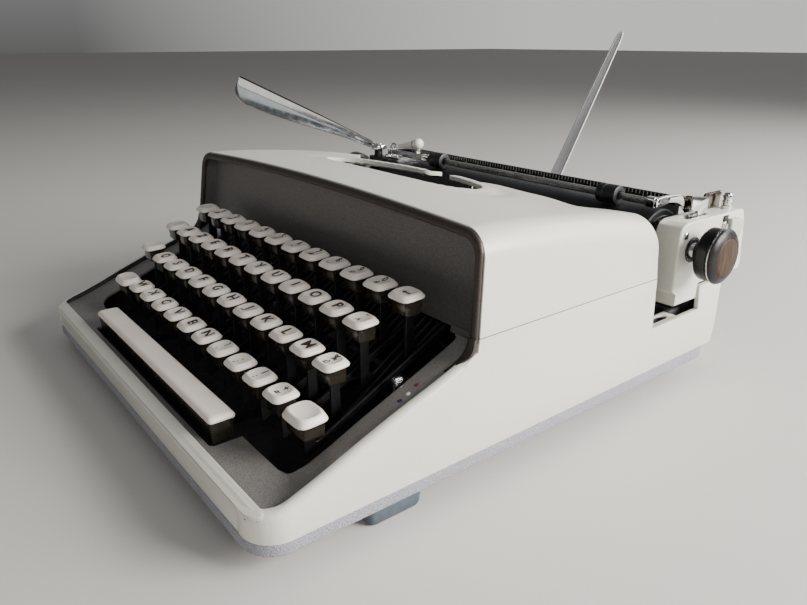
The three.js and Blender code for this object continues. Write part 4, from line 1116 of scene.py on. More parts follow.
def build_apron():
    ys = np.concatenate([np.linspace(5.8, 25.6, 8), np.linspace(26.6, 34, 8), np.linspace(36, 99, 22), np.linspace(100.5, 111.8, 12)])
    parts = []
    for s in (1, -1):
        top = []
        for y in ys:
            # inner edge sweeps in to a rounded corner at the panel and at the front strip
            xi = BAND_IN
            r = 3.0
            if y > 111.8 - r:
                k = (y - (111.8 - r)) / r
                xi -= r * (1 - math.sqrt(max(0, 1 - k * k)))
            if 25.6 < y < 25.6 + 8:
                k = ((25.6 + 8) - y) / 8
                xi -= 8 * (1 - math.sqrt(max(0, 1 - k * k)))
            if y <= 25.6:
                xi = 114.0
            xo = BAND_OUT if y < 101 else BAND_OUT - 0.8
            row = []
            for k in np.linspace(0, 1, 12):
                x = xo + (xi - xo) * k
                row.append((s * x, y, band_height(y, min(1, (BAND_OUT - x) / (BAND_OUT - BAND_IN)))))
            top.append(row)
        t3 = [[top[j][i] for j in range(len(ys))] for i in range(12)]
        b3 = [[(x, y, z - 1.5) for x, y, z in row] for row in t3]
        parts.append(sheet(t3, b3) if s > 0 else flip(sheet(t3, b3)))
    ob = raw_object("keyboard_apron_plate", [parts[0]], ["apron_grey"])
    boolean(ob, [parts[1]], "UNION")
    boolean(ob, [box(-116, 116, 5.9, 25.6, 25.2, 26.8), box(-123.5, -84, 24.2, 25.6, 20, 26.6), box(84, 123.5, 24.2, 25.6, 20, 26.6)], "UNION")
    plan = prism("z", round_rect(-BAND_OUT, BAND_OUT, 5.7, 130, [9.8, 1, 1, 9.8], 12), 0, 90)
    boolean(ob, [plan], "INTERSECT")
    notch = fillet([(-82.3, 11.2), (82.3, 11.2), (82.3, 40), (-82.3, 40)], [2.4, 2.4, 0, 0], 6)
    boolean(ob, [prism("z", notch, 15, 40)])
    bevel(ob, 0.45, 3, 45, clamp=True)
    finish_piece(ob, "body", ["keyboard_apron"], 34)
    # three raised enamel dots beside the ribbon selector
    for nm, x, y in (("blue", 131.5, 73.1), ("white", 131.2, 77.4), ("red", 130.5, 82.8)):
        k = (BAND_OUT - x) / (BAND_OUT - BAND_IN)
        z = band_height(y, k)
        slope = (band_height(y + 1, k) - band_height(y - 1, k)) / 2
        nrm = Vector((0.0, -slope, 1)).normalized()
        prof = [(0, -0.3), (1.1, -0.3), (1.1, 0.05), (0.9, 0.2), (0.5, 0.3), (0, 0.33)]
        part = lathe("z", prof, 0, 0, 24)
        m = Matrix.Translation(Vector((x, y, z))) @ Vector((0, 0, 1)).rotation_difference(nrm).to_matrix().to_4x4()
        piece("ribbon_dot_" + nm, [([tuple(m @ Vector(p)) for p in part[0]], part[1])], "dot_" + nm, "body")


# ------------------------------------------------------------------ keys
PITCH, FULCRUM_Y = 19.05, 146.0
ROWS = [dict(y=95.5, z=84.8, x0=-102.3, lever=58.0), dict(y=77.7, z=74.1, x0=-111.8, lever=48.5),
        dict(y=58.9, z=61.5, x0=-107.1, lever=39.0), dict(y=39.8, z=49.4, x0=-97.5, lever=29.5)]
LEVER_Y, LEVER_Z, LEVER_SLOPE, LEVER_KNEE, LEVER_LOW, LEVER_HALF = 97.0, 52.4, 0.66, 117.0, 26.4, 1.8
# plain legends only: letters, digits and punctuation, upper then lower line
LEG = {0: ["", "1&", "2é", "3\"", "4'", "5(", "6-", "7è", "8_", "9ç", "0à", "<-"],
       1: ["", "A", "Z", "E", "R", "T", "Y", "U", "I", "O", "P", "¨^"],
       2: ["", "Q", "S", "D", "F", "G", "H", "J", "K", "L", "M", "%ù"],
       3: ["", "W", "X", "C", "V", "B", "N", "?,", ".;", "/:", "+=", ""]}
OPTS = {(2, 0): dict(dz=3), (3, 0): dict(w=18.4, d=12.8, dx=-1, dy=-1.6, side=3.4), (3, 11): dict(w=17.8, d=14.4, dx=0.7, dy=-0.2, dz=-1, side=3.4)}
GROUPS = [("key_margin_release", 0, 0, 0), ("keys_number_row_left", 0, 1, 5), ("keys_number_row_right", 0, 6, 10), ("key_backspace", 0, 11, 11),
          ("key_tabulator", 1, 0, 0), ("keys_upper_row_left", 1, 1, 5), ("keys_upper_row_right", 1, 6, 11), ("key_shift_lock", 2, 0, 0),
          ("keys_home_row_left", 2, 1, 4), ("key_center", 2, 5, 5), ("keys_home_row_right", 2, 6, 11), ("key_shift_left", 3, 0, 0),
          ("keys_lower_row_left", 3, 1, 5), ("keys_lower_row_right", 3, 6, 10), ("key_shift_right", 3, 11, 11)]


def squircle(hx, hy, n=3.4, seg=40):
    out = []
    for i in range(seg):
        t = 2 * math.pi * (i + 0.5) / seg
        c, s = math.cos(t), math.sin(t)
        out.append((hx * math.copysign(abs(c) ** (2 / n), c), hy * math.copysign(abs(s) ** (2 / n), s)))
    return out


def key_place(row, i):
    r, o = ROWS[row], OPTS.get((row, i), {})
    x = r["x0"] + PITCH * i
    return dict(x=x, X=x + o.get("dx", 0), Y=r["y"] + o.get("dy", 0), Z=r["z"] + o.get("dz", 0), hx=o.get("w", 14.2) / 2, hy=o.get("d", 13.0) / 2, lever=r["lever"], side=o.get("side", 2.7), row=row)


def dish(u, v):
    """depth of the dished top at (u, v), both from -1 to 1"""
    r2 = min(1.0, u * u * 0.85 + v * v * 1.0)
    return -0.85 * (1 - r2) ** 0.9 if r2 < 1 else 0.0


def cap_top(k, x, y):
    """height of the cap's top surface"""
    u, v = (x - k["X"]) / (k["hx"] - 1.9), (y - k["Y"]) / (k["hy"] - 1.8)
    return k["Z"] - 0.2 + 0.7 * (y - k["Y"]) / (2 * k["hy"]) + dish(u, v)


def cap_part(k):
    hx, hy, X, Y, Z, S = k["hx"], k["hy"], k["X"], k["Y"], k["Z"], k["side"]
    tilt = lambda b: 0.7 * b / (2 * hy)
    rings = []
    # underside, lower edge, long chamfer, rounded rim, then the dish in closer and closer rings
    for dx, dy, dz, n in ((1.3, 1.3, -S - 0.12, 3.6), (0.30, 0.30, -S - 0.22, 4.2), (0.09, 0.09, -S - 0.1, 4.4), (0.0, 0.0, -S + 0.15, 4.4), (0.02, 0.02, -S + 0.45, 4.4), (0.16, 0.15, -S + 0.80, 4.3),
                          (0.60, 0.56, -0.5 * S + 0.02, 4.0), (1.15, 1.08, -0.62, 3.6), (1.55, 1.46, -0.33, 3.3), (1.85, 1.75, -0.2, 3.0), (2.1, 2.0, -0.2, 2.8)):
        sx, sy = hx - dx, hy - dy
        rings.append([(X + a * sx, Y + b * sy, Z + dz + tilt(b * sy)) for a, b in squircle(1, 1, n)])
    for q in (0.93, 0.84, 0.72, 0.58, 0.42, 0.22):
        sx, sy = (hx - 2.2) * q, (hy - 2.1) * q
        rings.append([(X + a * sx, Y + b * sy, cap_top(k, X + a * sx, Y + b * sy)) for a, b in squircle(1, 1, 2.7)])
    v, f = loft(rings, cap=False)
    n = 40
    f.append(tuple(range(n))[::-1])
    c = len(v)
    v.append((X, Y, cap_top(k, X, Y)))
    o = (len(rings) - 1) * n
    f += [(o + j, o + (j + 1) % n, c) for j in range(n)]
    return v, f


def skirt_part(k):
    """square skirt with crisp upright edges and a hollow foot"""
    X, Y, Z, S = k["X"], k["Y"], k["Z"], k["side"]
    sx, sy = k["hx"] - 1.5, k["hy"] - 2.1
    rings = []
    for d, dz, r in ((1.6, -8.9, 0.3), (1.0, -9.9, 0.4), (0.75, -10.15, 0.5), (0.45, -10.15, 0.5), (0.3, -10.0, 0.5), (0.27, -9.2, 0.5), (0.12, -6.5, 0.5), (0.0, -S - 0.5, 0.5), (-0.25, -S - 0.1, 0.5)):
        rings.append([(a, b, Z + dz) for a, b in round_rect(X - sx + d, X + sx - d, Y - sy + d, Y + sy - d, r, 2)])
    return loft(rings)


def lever_parts(k):
    """upright stem and the lever, which rises rearward parallel to the keyboard and bends down to its fulcrum"""
    a, b, h, x, L = k["Y"] - 1.0, k["Y"] + 4.0, LEVER_HALF - 0.1, k["x"], k["lever"]
    rise = lambda q: max(LEVER_LOW, LEVER_Z + LEVER_SLOPE * (q - LEVER_Y))
    ky = LEVER_KNEE
    kz = rise(ky)
    foot = LEVER_LOW + 0.4 if k["row"] == 3 else rise(a)
    m = (kz - foot) / (ky - a) if k["row"] == 3 else LEVER_SLOPE
    line = lambda q: foot + m * (q - a)
    zt = k["Z"] - 9.4
    # the lever ends inside its hub, just short of the fulcrum rod
    n = math.hypot(FULCRUM_Y - ky, L - kz)
    ux, uz = (FULCRUM_Y - ky) / n, (L - kz) / n
    ey, ez = FULCRUM_Y - 2.5 * ux, L - 2.5 * uz
    pts = [(a, line(a) - h), (ky, kz - h), (ey + uz * h, ez - ux * h), (ey - uz * h, ez + ux * h), (ky + 1.6, kz + h), (ky - 1.5, line(ky - 1.5) + h), (b, line(b) + h), (b - 0.3, zt), (a + 0.3, zt)]
    return prism("x", fillet(pts, [1.2, 3.0, 0, 0, 2.0, 2.0, 1.6, 0, 0], 4), x - 0.75, x + 0.75)


def text_part(s, x, y, size, k, squash=1.0):
    """a legend laid on the dished top of a cap"""
    cu = bpy.data.curves.new("t", "FONT")
    cu.body = s
    cu.size = size
    cu.align_x, cu.align_y = "CENTER", "CENTER"
    cu.resolution_u = 3
    cu.offset = 0.018 * size
    cu.fill_mode = "BOTH"
    ob = bpy.data.objects.new("t", cu)
    bpy.context.scene.collection.objects.link(ob)
    bpy.context.view_layer.update()
    me = bpy.data.meshes.new_from_object(ob.evaluated_get(bpy.context.evaluated_depsgraph_get()))
    bpy.data.objects.remove(ob)
    bm = bmesh.new()
    bm.from_mesh(me)
    bmesh.ops.remove_doubles(bm, verts=bm.verts, dist=1e-4)
    bmesh.ops.triangulate(bm, faces=bm.faces)
    v = [(p.co.x * squash + x, p.co.y + y) for p in bm.verts]
    f = [tuple(q.index for q in t.verts) for t in bm.faces if t.calc_area() > 1e-7]
    bd = [tuple(q.index for q in e.verts) for e in bm.edges if len(e.link_faces) == 1]
    # a thin closed slab: top, bottom and edge walls
    n = len(v)
    top = [(a, b, cap_top(k, a, b) + 0.11) for a, b in v]
    low = [(a, b, cap_top(k, a, b) - 0.12) for a, b in v]
    faces = list(f) + [tuple(i + n for i in t[::-1]) for t in f]
    fset = {}
    for t in f:
        for i in range(3):
            fset[(t[i], t[(i + 1) % 3])] = True
    for a, b in bd:
        if (a, b) not in fset:
            a, b = b, a
        faces.append((b, a, a + n, b + n))
    bm.free()
    bpy.data.meshes.remove(me)
    return top + low, faces


def build_keys():
    for name, row, a, b in GROUPS:
        ks = [key_place(row, i) for i in range(a, b + 1)]
        body = name
        piece(name + "_caps", [cap_part(k) for k in ks], "key_cap", body, [name], smooth=50)
        piece(name + "_skirts", [skirt_part(k) for k in ks], "key_skirt", body, smooth=50)
        lev = raw_object(name + "_levers", [lever_parts(k) for k in ks], ["stem_grey"])
        bevel(lev, 0.22, 1, 40)
        finish_piece(lev, body, smooth=40)
        z = ROWS[row]["lever"]
        hub = lathe("x", [(1.95, ks[0]["x"] - 1.6), (3.2, ks[0]["x"] - 1.6), (3.4, ks[0]["x"] - 1.4), (3.4, ks[-1]["x"] + 1.4), (3.2, ks[-1]["x"] + 1.6), (1.95, ks[-1]["x"] + 1.6)], FULCRUM_Y, z, 24)
        piece(name + "_hub", [hub], "lever_black", body, smooth=40)
        legends = []
        for i in range(a, b + 1):
            s = LEG[row][i]
            k = ks[i - a]
            if not s:
                continue
            if s == "<-":
                ar = [(-2.6, 0.0), (-0.9, 1.25), (-0.9, 0.42), (2.6, 0.42), (2.6, -0.42), (-0.9, -0.42), (-0.9, -1.25)]
                top = [(k["X"] + p, k["Y"] + q, cap_top(k, k["X"] + p, k["Y"] + q) + 0.12) for p, q in ar]
                low = [(x, y, z2 - 0.24) for x, y, z2 in top]
                n = len(ar)
                # split into a head and a shaft so that every face is flat and simple
                f = [(0, 6, 1), (2, 5, 4, 3)]
                f = [(1, 0, 6), (3, 2, 5, 4)]
                f2 = f + [tuple(i2 + n for i2 in t[::-1]) for t in f] + [(i2, (i2 + 1) % n, (i2 + 1) % n + n, i2 + n) for i2 in range(n) if i2 not in (1, 5)]
                f2 += [(1, 2, 2 + n, 1 + n), (5, 6, 6 + n, 5 + n), (2, 5, 5 + n, 2 + n)]
                legends.append((top + low, f2[:-1]))
            elif len(s) == 1:
                legends.append(text_part(s, k["X"], k["Y"] + 0.5, 7.4, k, 1.08))
            else:
                legends.append(text_part(s[0], k["X"], k["Y"] + 2.5, 4.8, k, 1.06))
                legends.append(text_part(s[1], k["X"], k["Y"] - 1.9, 5.0, k, 1.06))
        if legends:
            ob = raw_object(name + "_legends", legends, ["legend"])
            finish_piece(ob, body, smooth=60)
    build_space_bar()


def build_space_bar():
    def ring(hx, y0, y1, z, r, zs=0.0):
        return [(x, y, z + zs * (y - 18.7) / 12) for x, y in round_rect(-hx, hx, y0, y1, r, 5)]
    cap = loft([ring(78.9, 13.6, 24.0, 35.45, 1.2), ring(79.6, 12.95, 24.65, 35.4, 1.6), ring(79.93, 12.68, 24.92, 35.6, 1.8), ring(80, 12.6, 25.0, 35.95, 1.9), ring(79.95, 12.65, 24.95, 36.5, 1.9),
                ring(79.6, 12.95, 24.65, 37.15, 1.9), ring(78.9, 13.6, 24.05, 37.75, 1.8), ring(78.1, 14.35, 23.35, 38.08, 1.7), ring(77.2, 15.2, 22.5, 38.16, 1.5), ring(75.6, 16.5, 21.2, 38.12, 1.2), ring(73.0, 18.0, 19.6, 38.1, 0.6)])
    piece("space_bar_cap", [cap], "space_cap", "space_bar", ["space_bar"], smooth=50)
    sk = loft([ring(77.0, 14.9, 22.5, 26.2, 0.4), ring(77.6, 14.3, 23.1, 25.1, 0.5), ring(78.0, 13.9, 23.5, 25.0, 0.5), ring(78.35, 13.6, 23.8, 25.3, 0.5), ring(78.8, 13.3, 24.2, 34.9, 0.5), ring(79.0, 13.2, 24.3, 35.45, 0.6)])
    piece("space_bar_skirt", [sk], "key_skirt", "space_bar", smooth=45)
    arms = []
    for x in (-57.05, 57.25):
        arms.append(prism("x", fillet([(16, 19.8), (122, 15.9), (122, 19.9), (22, 24.0), (22, 28.6), (16, 28.6)], [1.2, 0.8, 0.8, 1.5, 0, 0], 5), x - 0.9, x + 0.9))
    piece("space_bar_arms", arms, "lever_black", "space_bar", bev=0.3, seg=2, ang=40)
    hubs = [lathe("x", [(1.85, x - 3), (2.8, x - 3), (3.0, x - 2.8), (3.0, x + 2.8), (2.8, x + 3), (1.85, x + 3)], 125, 17.8, 24) for x in (-57.05, 57.25)]
    piece("space_bar_hubs", hubs, "lever_black", "space_bar", smooth=40)


# ------------------------------------------------------------------ carriage
PY, PZ, PR = 262.5, 81.0, 18.2
BY, BZ, BPY, BPZ = 255.0, 104.0, 285.5, 97.0


def build_carriage():
    keep_cad("carriage_frame", "lever_black", 0.4)
    for nm, s in (("right", 1), ("left", -1)):
        X = (lambda a, b: (a, b)) if s > 0 else (lambda a, b: (-b, -a))
        prof = fillet([(249, 50.6), (274, 50.6), (274, 59.4), (316.8, 59.6), (318.8, 62.5), (315.4, 88.0), (312.6, 96.3), (255, 96.5), (250.4, 94.5), (249, 90)],
                      [2.5, 1.2, 1.2, 2.0, 3, 8, 3, 5, 5, 5], 6)
        ob = raw_object("end_cap_%s_shell" % nm, [prism("x", prof, *X(118.0, 142.2))], ["shell_cream"])
        bevel(ob, 3.0, 6, 60)
        inn = [(254.3, 52.4), (272.2, 52.4), (272.2, 61.2), (316.2, 61.4), (313.4, 88.0), (311.2, 94.4), (256, 94.6), (251.6, 92.6), (250.9, 89), (250.9, 60.8), (254.3, 58.2)]
        boolean(ob, [box(*X(110.0, 127.8), 200, 360, 30, 120)])
        # the front edge steps back below, under a short overhang
        boolean(ob, [prism("x", [(240, 40), (252.4, 40), (252.4, 57.2), (248.8, 59.9), (240, 59.9)], *X(110, 150))])
        boolean(ob, [prism("x", fillet(inn, 1.0, 3), *X(120, 140.0))])
        boolean(ob, [rod("x", 6.0, *X(120, 150), PY, PZ, 48), prism("x", fillet([(289.9, 84.4), (295.9, 84.4), (295.9, 95.2), (289.9, 95.2)], 0.9, 4), *X(137, 146)),
                     prism("z", fillet([(X(131.2, 137.0)[0], 263.0), (X(131.2, 137.0)[1], 263.0), (X(131.2, 137.0)[1], 284.0), (X(131.2, 137.0)[0], 284.0)], 1.0, 4), 92, 99)])
        bevel(ob, 0.35, 2, 45)
        finish_piece(ob, "carriage", ["end_cap_%s" % nm], 36)
        # the inner faces of each end cap, under the overhang and in the slot, are painted near-black as shade
        paint(ob, lambda x, y, z, n: abs(x) < 140.15 and y < np.interp(z, [61.4, 88, 94.4], [316.8, 314.0, 311.8]) and (y > 250.2 if z > 59.8 else y > 253.3) and z < min(94.9, 92.9 + (y - 251.6) * 0.4545) and (z > 60.5 if y > 272.9 else z > 51.6), "inner_dark")
        # dark ring round the shaft hole, and the screw that holds the cap
        d = 1 if s > 0 else -1
        ring = [(5.4, d * 141.4), (7.0, d * 141.4), (7.0, d * 142.4), (6.7, d * 142.7), (5.8, d * 142.7), (5.4, d * 142.4)]
        piece("shaft_bush_" + nm, [lathe("x", ring, PY, PZ, 48)], "black_plastic", "carriage", smooth=40)
        scr = raw_object("end_cap_screw_" + nm, [lathe("x", [(0, d * 141.0), (2.3, d * 141.0), (2.3, d * 142.5), (2.0, d * 142.9), (1.2, d * 143.2), (0, d * 143.3)], 254.2, 90.0, 32)], ["bright_steel"])
        boolean(scr, [box(*X(142.8, 144.5), 253.9, 254.5, 85, 95)])
        finish_piece(scr, "carriage", smooth=35)
    # bright post with turned bands and an upright plate on top of the right end cap
    post = [(0, 95.6), (2.8, 95.6), (2.8, 98.0), (2.3, 98.4), (2.3, 99.6), (2.65, 99.9), (2.65, 101.2), (2.2, 101.5), (2.2, 102.4), (2.6, 102.7), (2.6, 104.2), (2.2, 104.9), (1.2, 105.3), (0, 105.3)]
    piece("end_cap_post", [lathe("z", post, 135.4, 304.8, 40)], "chrome", "carriage", smooth=35)
    # the plate is drawn in dark chrome, a painted dark reflection; the strip on its rear edge is plain chrome
    piece("end_cap_plate", [prism("x", fillet([(290, 95.7), (307, 95.7), (307, 105.6), (290, 105.6)], [0.3, 0.3, 1.2, 1.6], 5), 128.8, 130.2)], "chrome_dark", "carriage", bev=0.3, seg=2, smooth=38)
    piece("end_cap_plate_edge", [box(128.7, 130.3, 306.4, 307.2, 96.6, 104.6)], "chrome", "carriage", bev=0.2, seg=2, smooth=38)
    # platen
    prof = [(4.5, -120), (PR - 0.7, -120), (PR, -119.3), (PR, 121.3), (PR - 0.7, 122), (4.5, 122)]
    piece("platen_rubber_roller", [lathe("x", prof, PY, PZ, 96)], "platen_rubber", "platen", ["platen_roller"], smooth=40)
    for d, x in ((1, 122.0), (-1, -120.0)):
        r = [(4.5, x - 0.2 * d), (14.5, x - 0.2 * d), (14.9, x + 0.2 * d), (14.5, x + 0.55 * d), (12.5, x + 0.6 * d), (11.8, x + 0.25 * d), (7.2, x + 0.25 * d), (6.6, x + 0.6 * d), (4.5, x + 0.6 * d)]
        piece("platen_end_%s" % ("right" if d > 0 else "left"), [lathe("x", r, PY, PZ, 64)], "black_plastic", "platen", smooth=35)
    piece("platen_shaft_turned", [lathe("x", [(0, -174), (3.7, -174), (4.1, -173.4), (4.1, 155.4), (3.7, 156), (0, 156)], PY, PZ, 40)], "bright_steel", "platen", ["platen_shaft"], smooth=40)
    for nm, d in (("right", 1), ("left", -1)):
        x0 = 0 if d > 0 else -18
        k = lambda v: d * v + (0 if d > 0 else -18.0)
        prof = [(4.4, k(146)), (6.5, k(146)), (6.9, k(146.4)), (6.9, k(150.1)), (7.2, k(150.4)), (12.9, k(150.42)), (13.6, k(150.7)), (14.0, k(151.3)), (14.1, k(152.0)), (14.1, k(156.9)), (13.8, k(157.2)), (13.8, k(157.5)), (14.2, k(157.7)),
                (14.55, k(157.9)), (14.66, k(158.2)), (14.66, k(159.0)), (14.5, k(159.5)), (14.0, k(160.0)), (13.2, k(160.56)), (12.0, k(161.1)), (10.7, k(161.6)), (10.35, k(161.7)), (10.15, k(161.5)), (10.1, k(161.2)), (4.4, k(161.2))]
        ob = raw_object("knob_%s_body" % nm, [lathe("x", prof, PY, PZ, 96)], ["black_plastic"])
        finish_piece(ob, "platen", ["knob_%s" % nm], 38)
        # painted highlight: a bright steel ring on the front disc's lip; and the domed insert
        piece("knob_%s_line" % nm, [lathe("x", [(14.2, k(158.2)), (14.62, k(158.22)), (14.72, k(158.38)), (14.72, k(158.82)), (14.62, k(158.98)), (14.2, k(159.0))], PY, PZ, 96)], "bright_steel", "platen", smooth=40)
        # the insert's brown streaks are a painted reflection
        piece("knob_%s_insert" % nm, [lathe("x", [(0, k(161.1)), (10.12, k(161.1)), (10.12, k(161.6)), (9.9, k(161.75)), (8, k(162.0)), (6, k(162.2)), (3, k(162.38)), (0, k(162.45))], PY, PZ, 64)], "wood_insert", "platen", smooth=50)
    keep_cad("ratchet_wheel", "bright_steel", 0.2)
    piece("feed_roller_rubber", [lathe("x", [(1.8, -112), (4.0, -112), (4.4, -111.6), (4.4, 111.6), (4.0, 112), (1.8, 112)], 253.4, 60.2, 40)], "platen_rubber", "feed_roller", ["feed_roller"], smooth=40)
    piece("feed_roller_shaft", [lathe("x", [(0, -124.9), (1.6, -124.9), (1.8, -124.7), (1.8, 124.7), (1.6, 124.9), (0, 124.9)], 253.4, 60.2, 24)], "bright_steel", "feed_roller", smooth=40)
    build_paper_table()
    keep_cad("margin_rail", "bright_steel", 0.35)
    for nm in ("margin_stop_left", "margin_stop_right"):
        keep_cad(nm, "chrome", 0.6, 3)
    for nm, s in (("right", 1), ("left", -1)):
        X = (lambda a, b: (a, b)) if s > 0 else (lambda a, b: (-b, -a))
        body = "carriage_release_" + nm
        prof = fillet([(293.6, 81.4), (299.5, 80.4), (304.4, 82.0), (307.4, 86.4), (306.8, 91.6), (303, 93.0), (293.6, 93.6)], [1.2, 4, 4, 4, 3, 1.5, 1.2], 6)
        piece("release_thumb_" + nm, [prism("x", prof, *X(142.6, 146.0))], "thumb_plate", body, [body], bev=1.0, seg=4, ang=50, smooth=45)
        sh = [prism("y", fillet([(X(139.2, 143.4)[0], 85.2), (X(139.2, 143.4)[1], 85.2), (X(139.2, 143.4)[1], 92), (X(139.2, 143.4)[0], 92)], 0.8, 4), 290.6, 295.0)]
        piece("release_shank_" + nm, sh, "chrome", body, bev=0.4, seg=2, smooth=40)
        piece("release_tie_" + nm, [prism("x", fillet([(290.6, 85.6), (297, 85.6), (297, 91), (290.6, 91)], 0.8, 4), *X(142.6, 144.4))], "bright_steel", body, bev=0.3, seg=2, smooth=40)
    build_tabs()
    build_bail()
    build_return_lever()
    build_support()


def build_paper_table():
    n = 22
    p, q = [], []
    for i in range(n + 1):
        t = math.radians(-62 + 62 * i / n)
        p.append((PY + 19.4 * math.cos(t), PZ + 19.4 * math.sin(t)))
        q.append((PY + 20.6 * math.cos(t), PZ + 20.6 * math.sin(t)))
    p += [(281.1, 88), (281.25, 94), (281.6, 102.6), (282.0, 103.35)]
    q += [(283.0, 88), (283.0, 94), (283.0, 102.8), (282.6, 103.5)]
    ob = raw_object("paper_table_sheet", [prism("x", p + q[::-1], -111, 119.5)], ["table_grey"])
    boolean(ob, [box(12.4, 24.4, 282.3, 285.1, 84, 93.5)], "UNION")
    bevel(ob, 0.35, 2, 40)
    finish_piece(ob, "carriage", ["paper_table"], 34)
    # line scale along the top edge: a dark strip with light ticks
    st = prism("x", [(280.75, 98.2), (281.35, 98.1), (281.75, 103.2), (281.2, 103.35)], -108, 117.5)
    piece("line_scale_strip", [st], "lever_black", "carriage", bev=0.15, seg=2, smooth=35)
    ticks = []
    for i in range(0, 87):
        x = -106.5 + i * 2.54
        L = 3.6 if i % 10 == 0 else (2.8 if i % 5 == 0 else 1.9)
        z1 = 103.0
        y1 = 281.16
        y0 = y1 - (L * 0.45 / 5.15)
        ticks.append(prism("x", [(y0 - 0.06, z1 - L), (y0 + 0.3, z1 - L), (y1 + 0.3, z1), (y1 - 0.06, z1)], x - 0.22, x + 0.22))
    piece("line_scale_ticks", ticks, "tick_white", "carriage", smooth=30)


def build_tabs():
    # paper release: upright blade with a folded front flange, on a slim stem
    body = "paper_release_lever"
    blade = fillet([(266.0, 108.4), (266.2, 101.6), (268.3, 100.1), (274.0, 99.2), (274.0, 95.5), (282.0, 95.5), (283.6, 97.6), (283.0, 105.6)], [0.6, 0.8, 2.0, 1.2, 0.4, 1.2, 1.2, 2.4], 5)
    ob = raw_object("paper_release_blade", [prism("x", blade, 134.2, 136)], ["chrome"])
    bevel(ob, 0.3, 2, 50)
    finish_piece(ob, body, [body], 38)
    # the front flange is drawn in dark chrome: painted shade on its front-facing side
    fl = fillet([(131.6, 101.2), (136.0, 101.2), (136.0, 108.2), (131.6, 108.2)], [0.5, 0.4, 0.6, 1.2], 5)
    piece("paper_release_flange", [prism("y", fl, 266, 267.4)], "chrome_dark", body, bev=0.25, seg=2, ang=50, smooth=38)
    piece("paper_release_stem", [prism("x", fillet([(270, 95.5), (282, 95.5), (282, 97.8), (270, 97.8)], 0.5, 3), 132.8, 135.4)], "bright_steel", body, bev=0.3, seg=2, smooth=38)


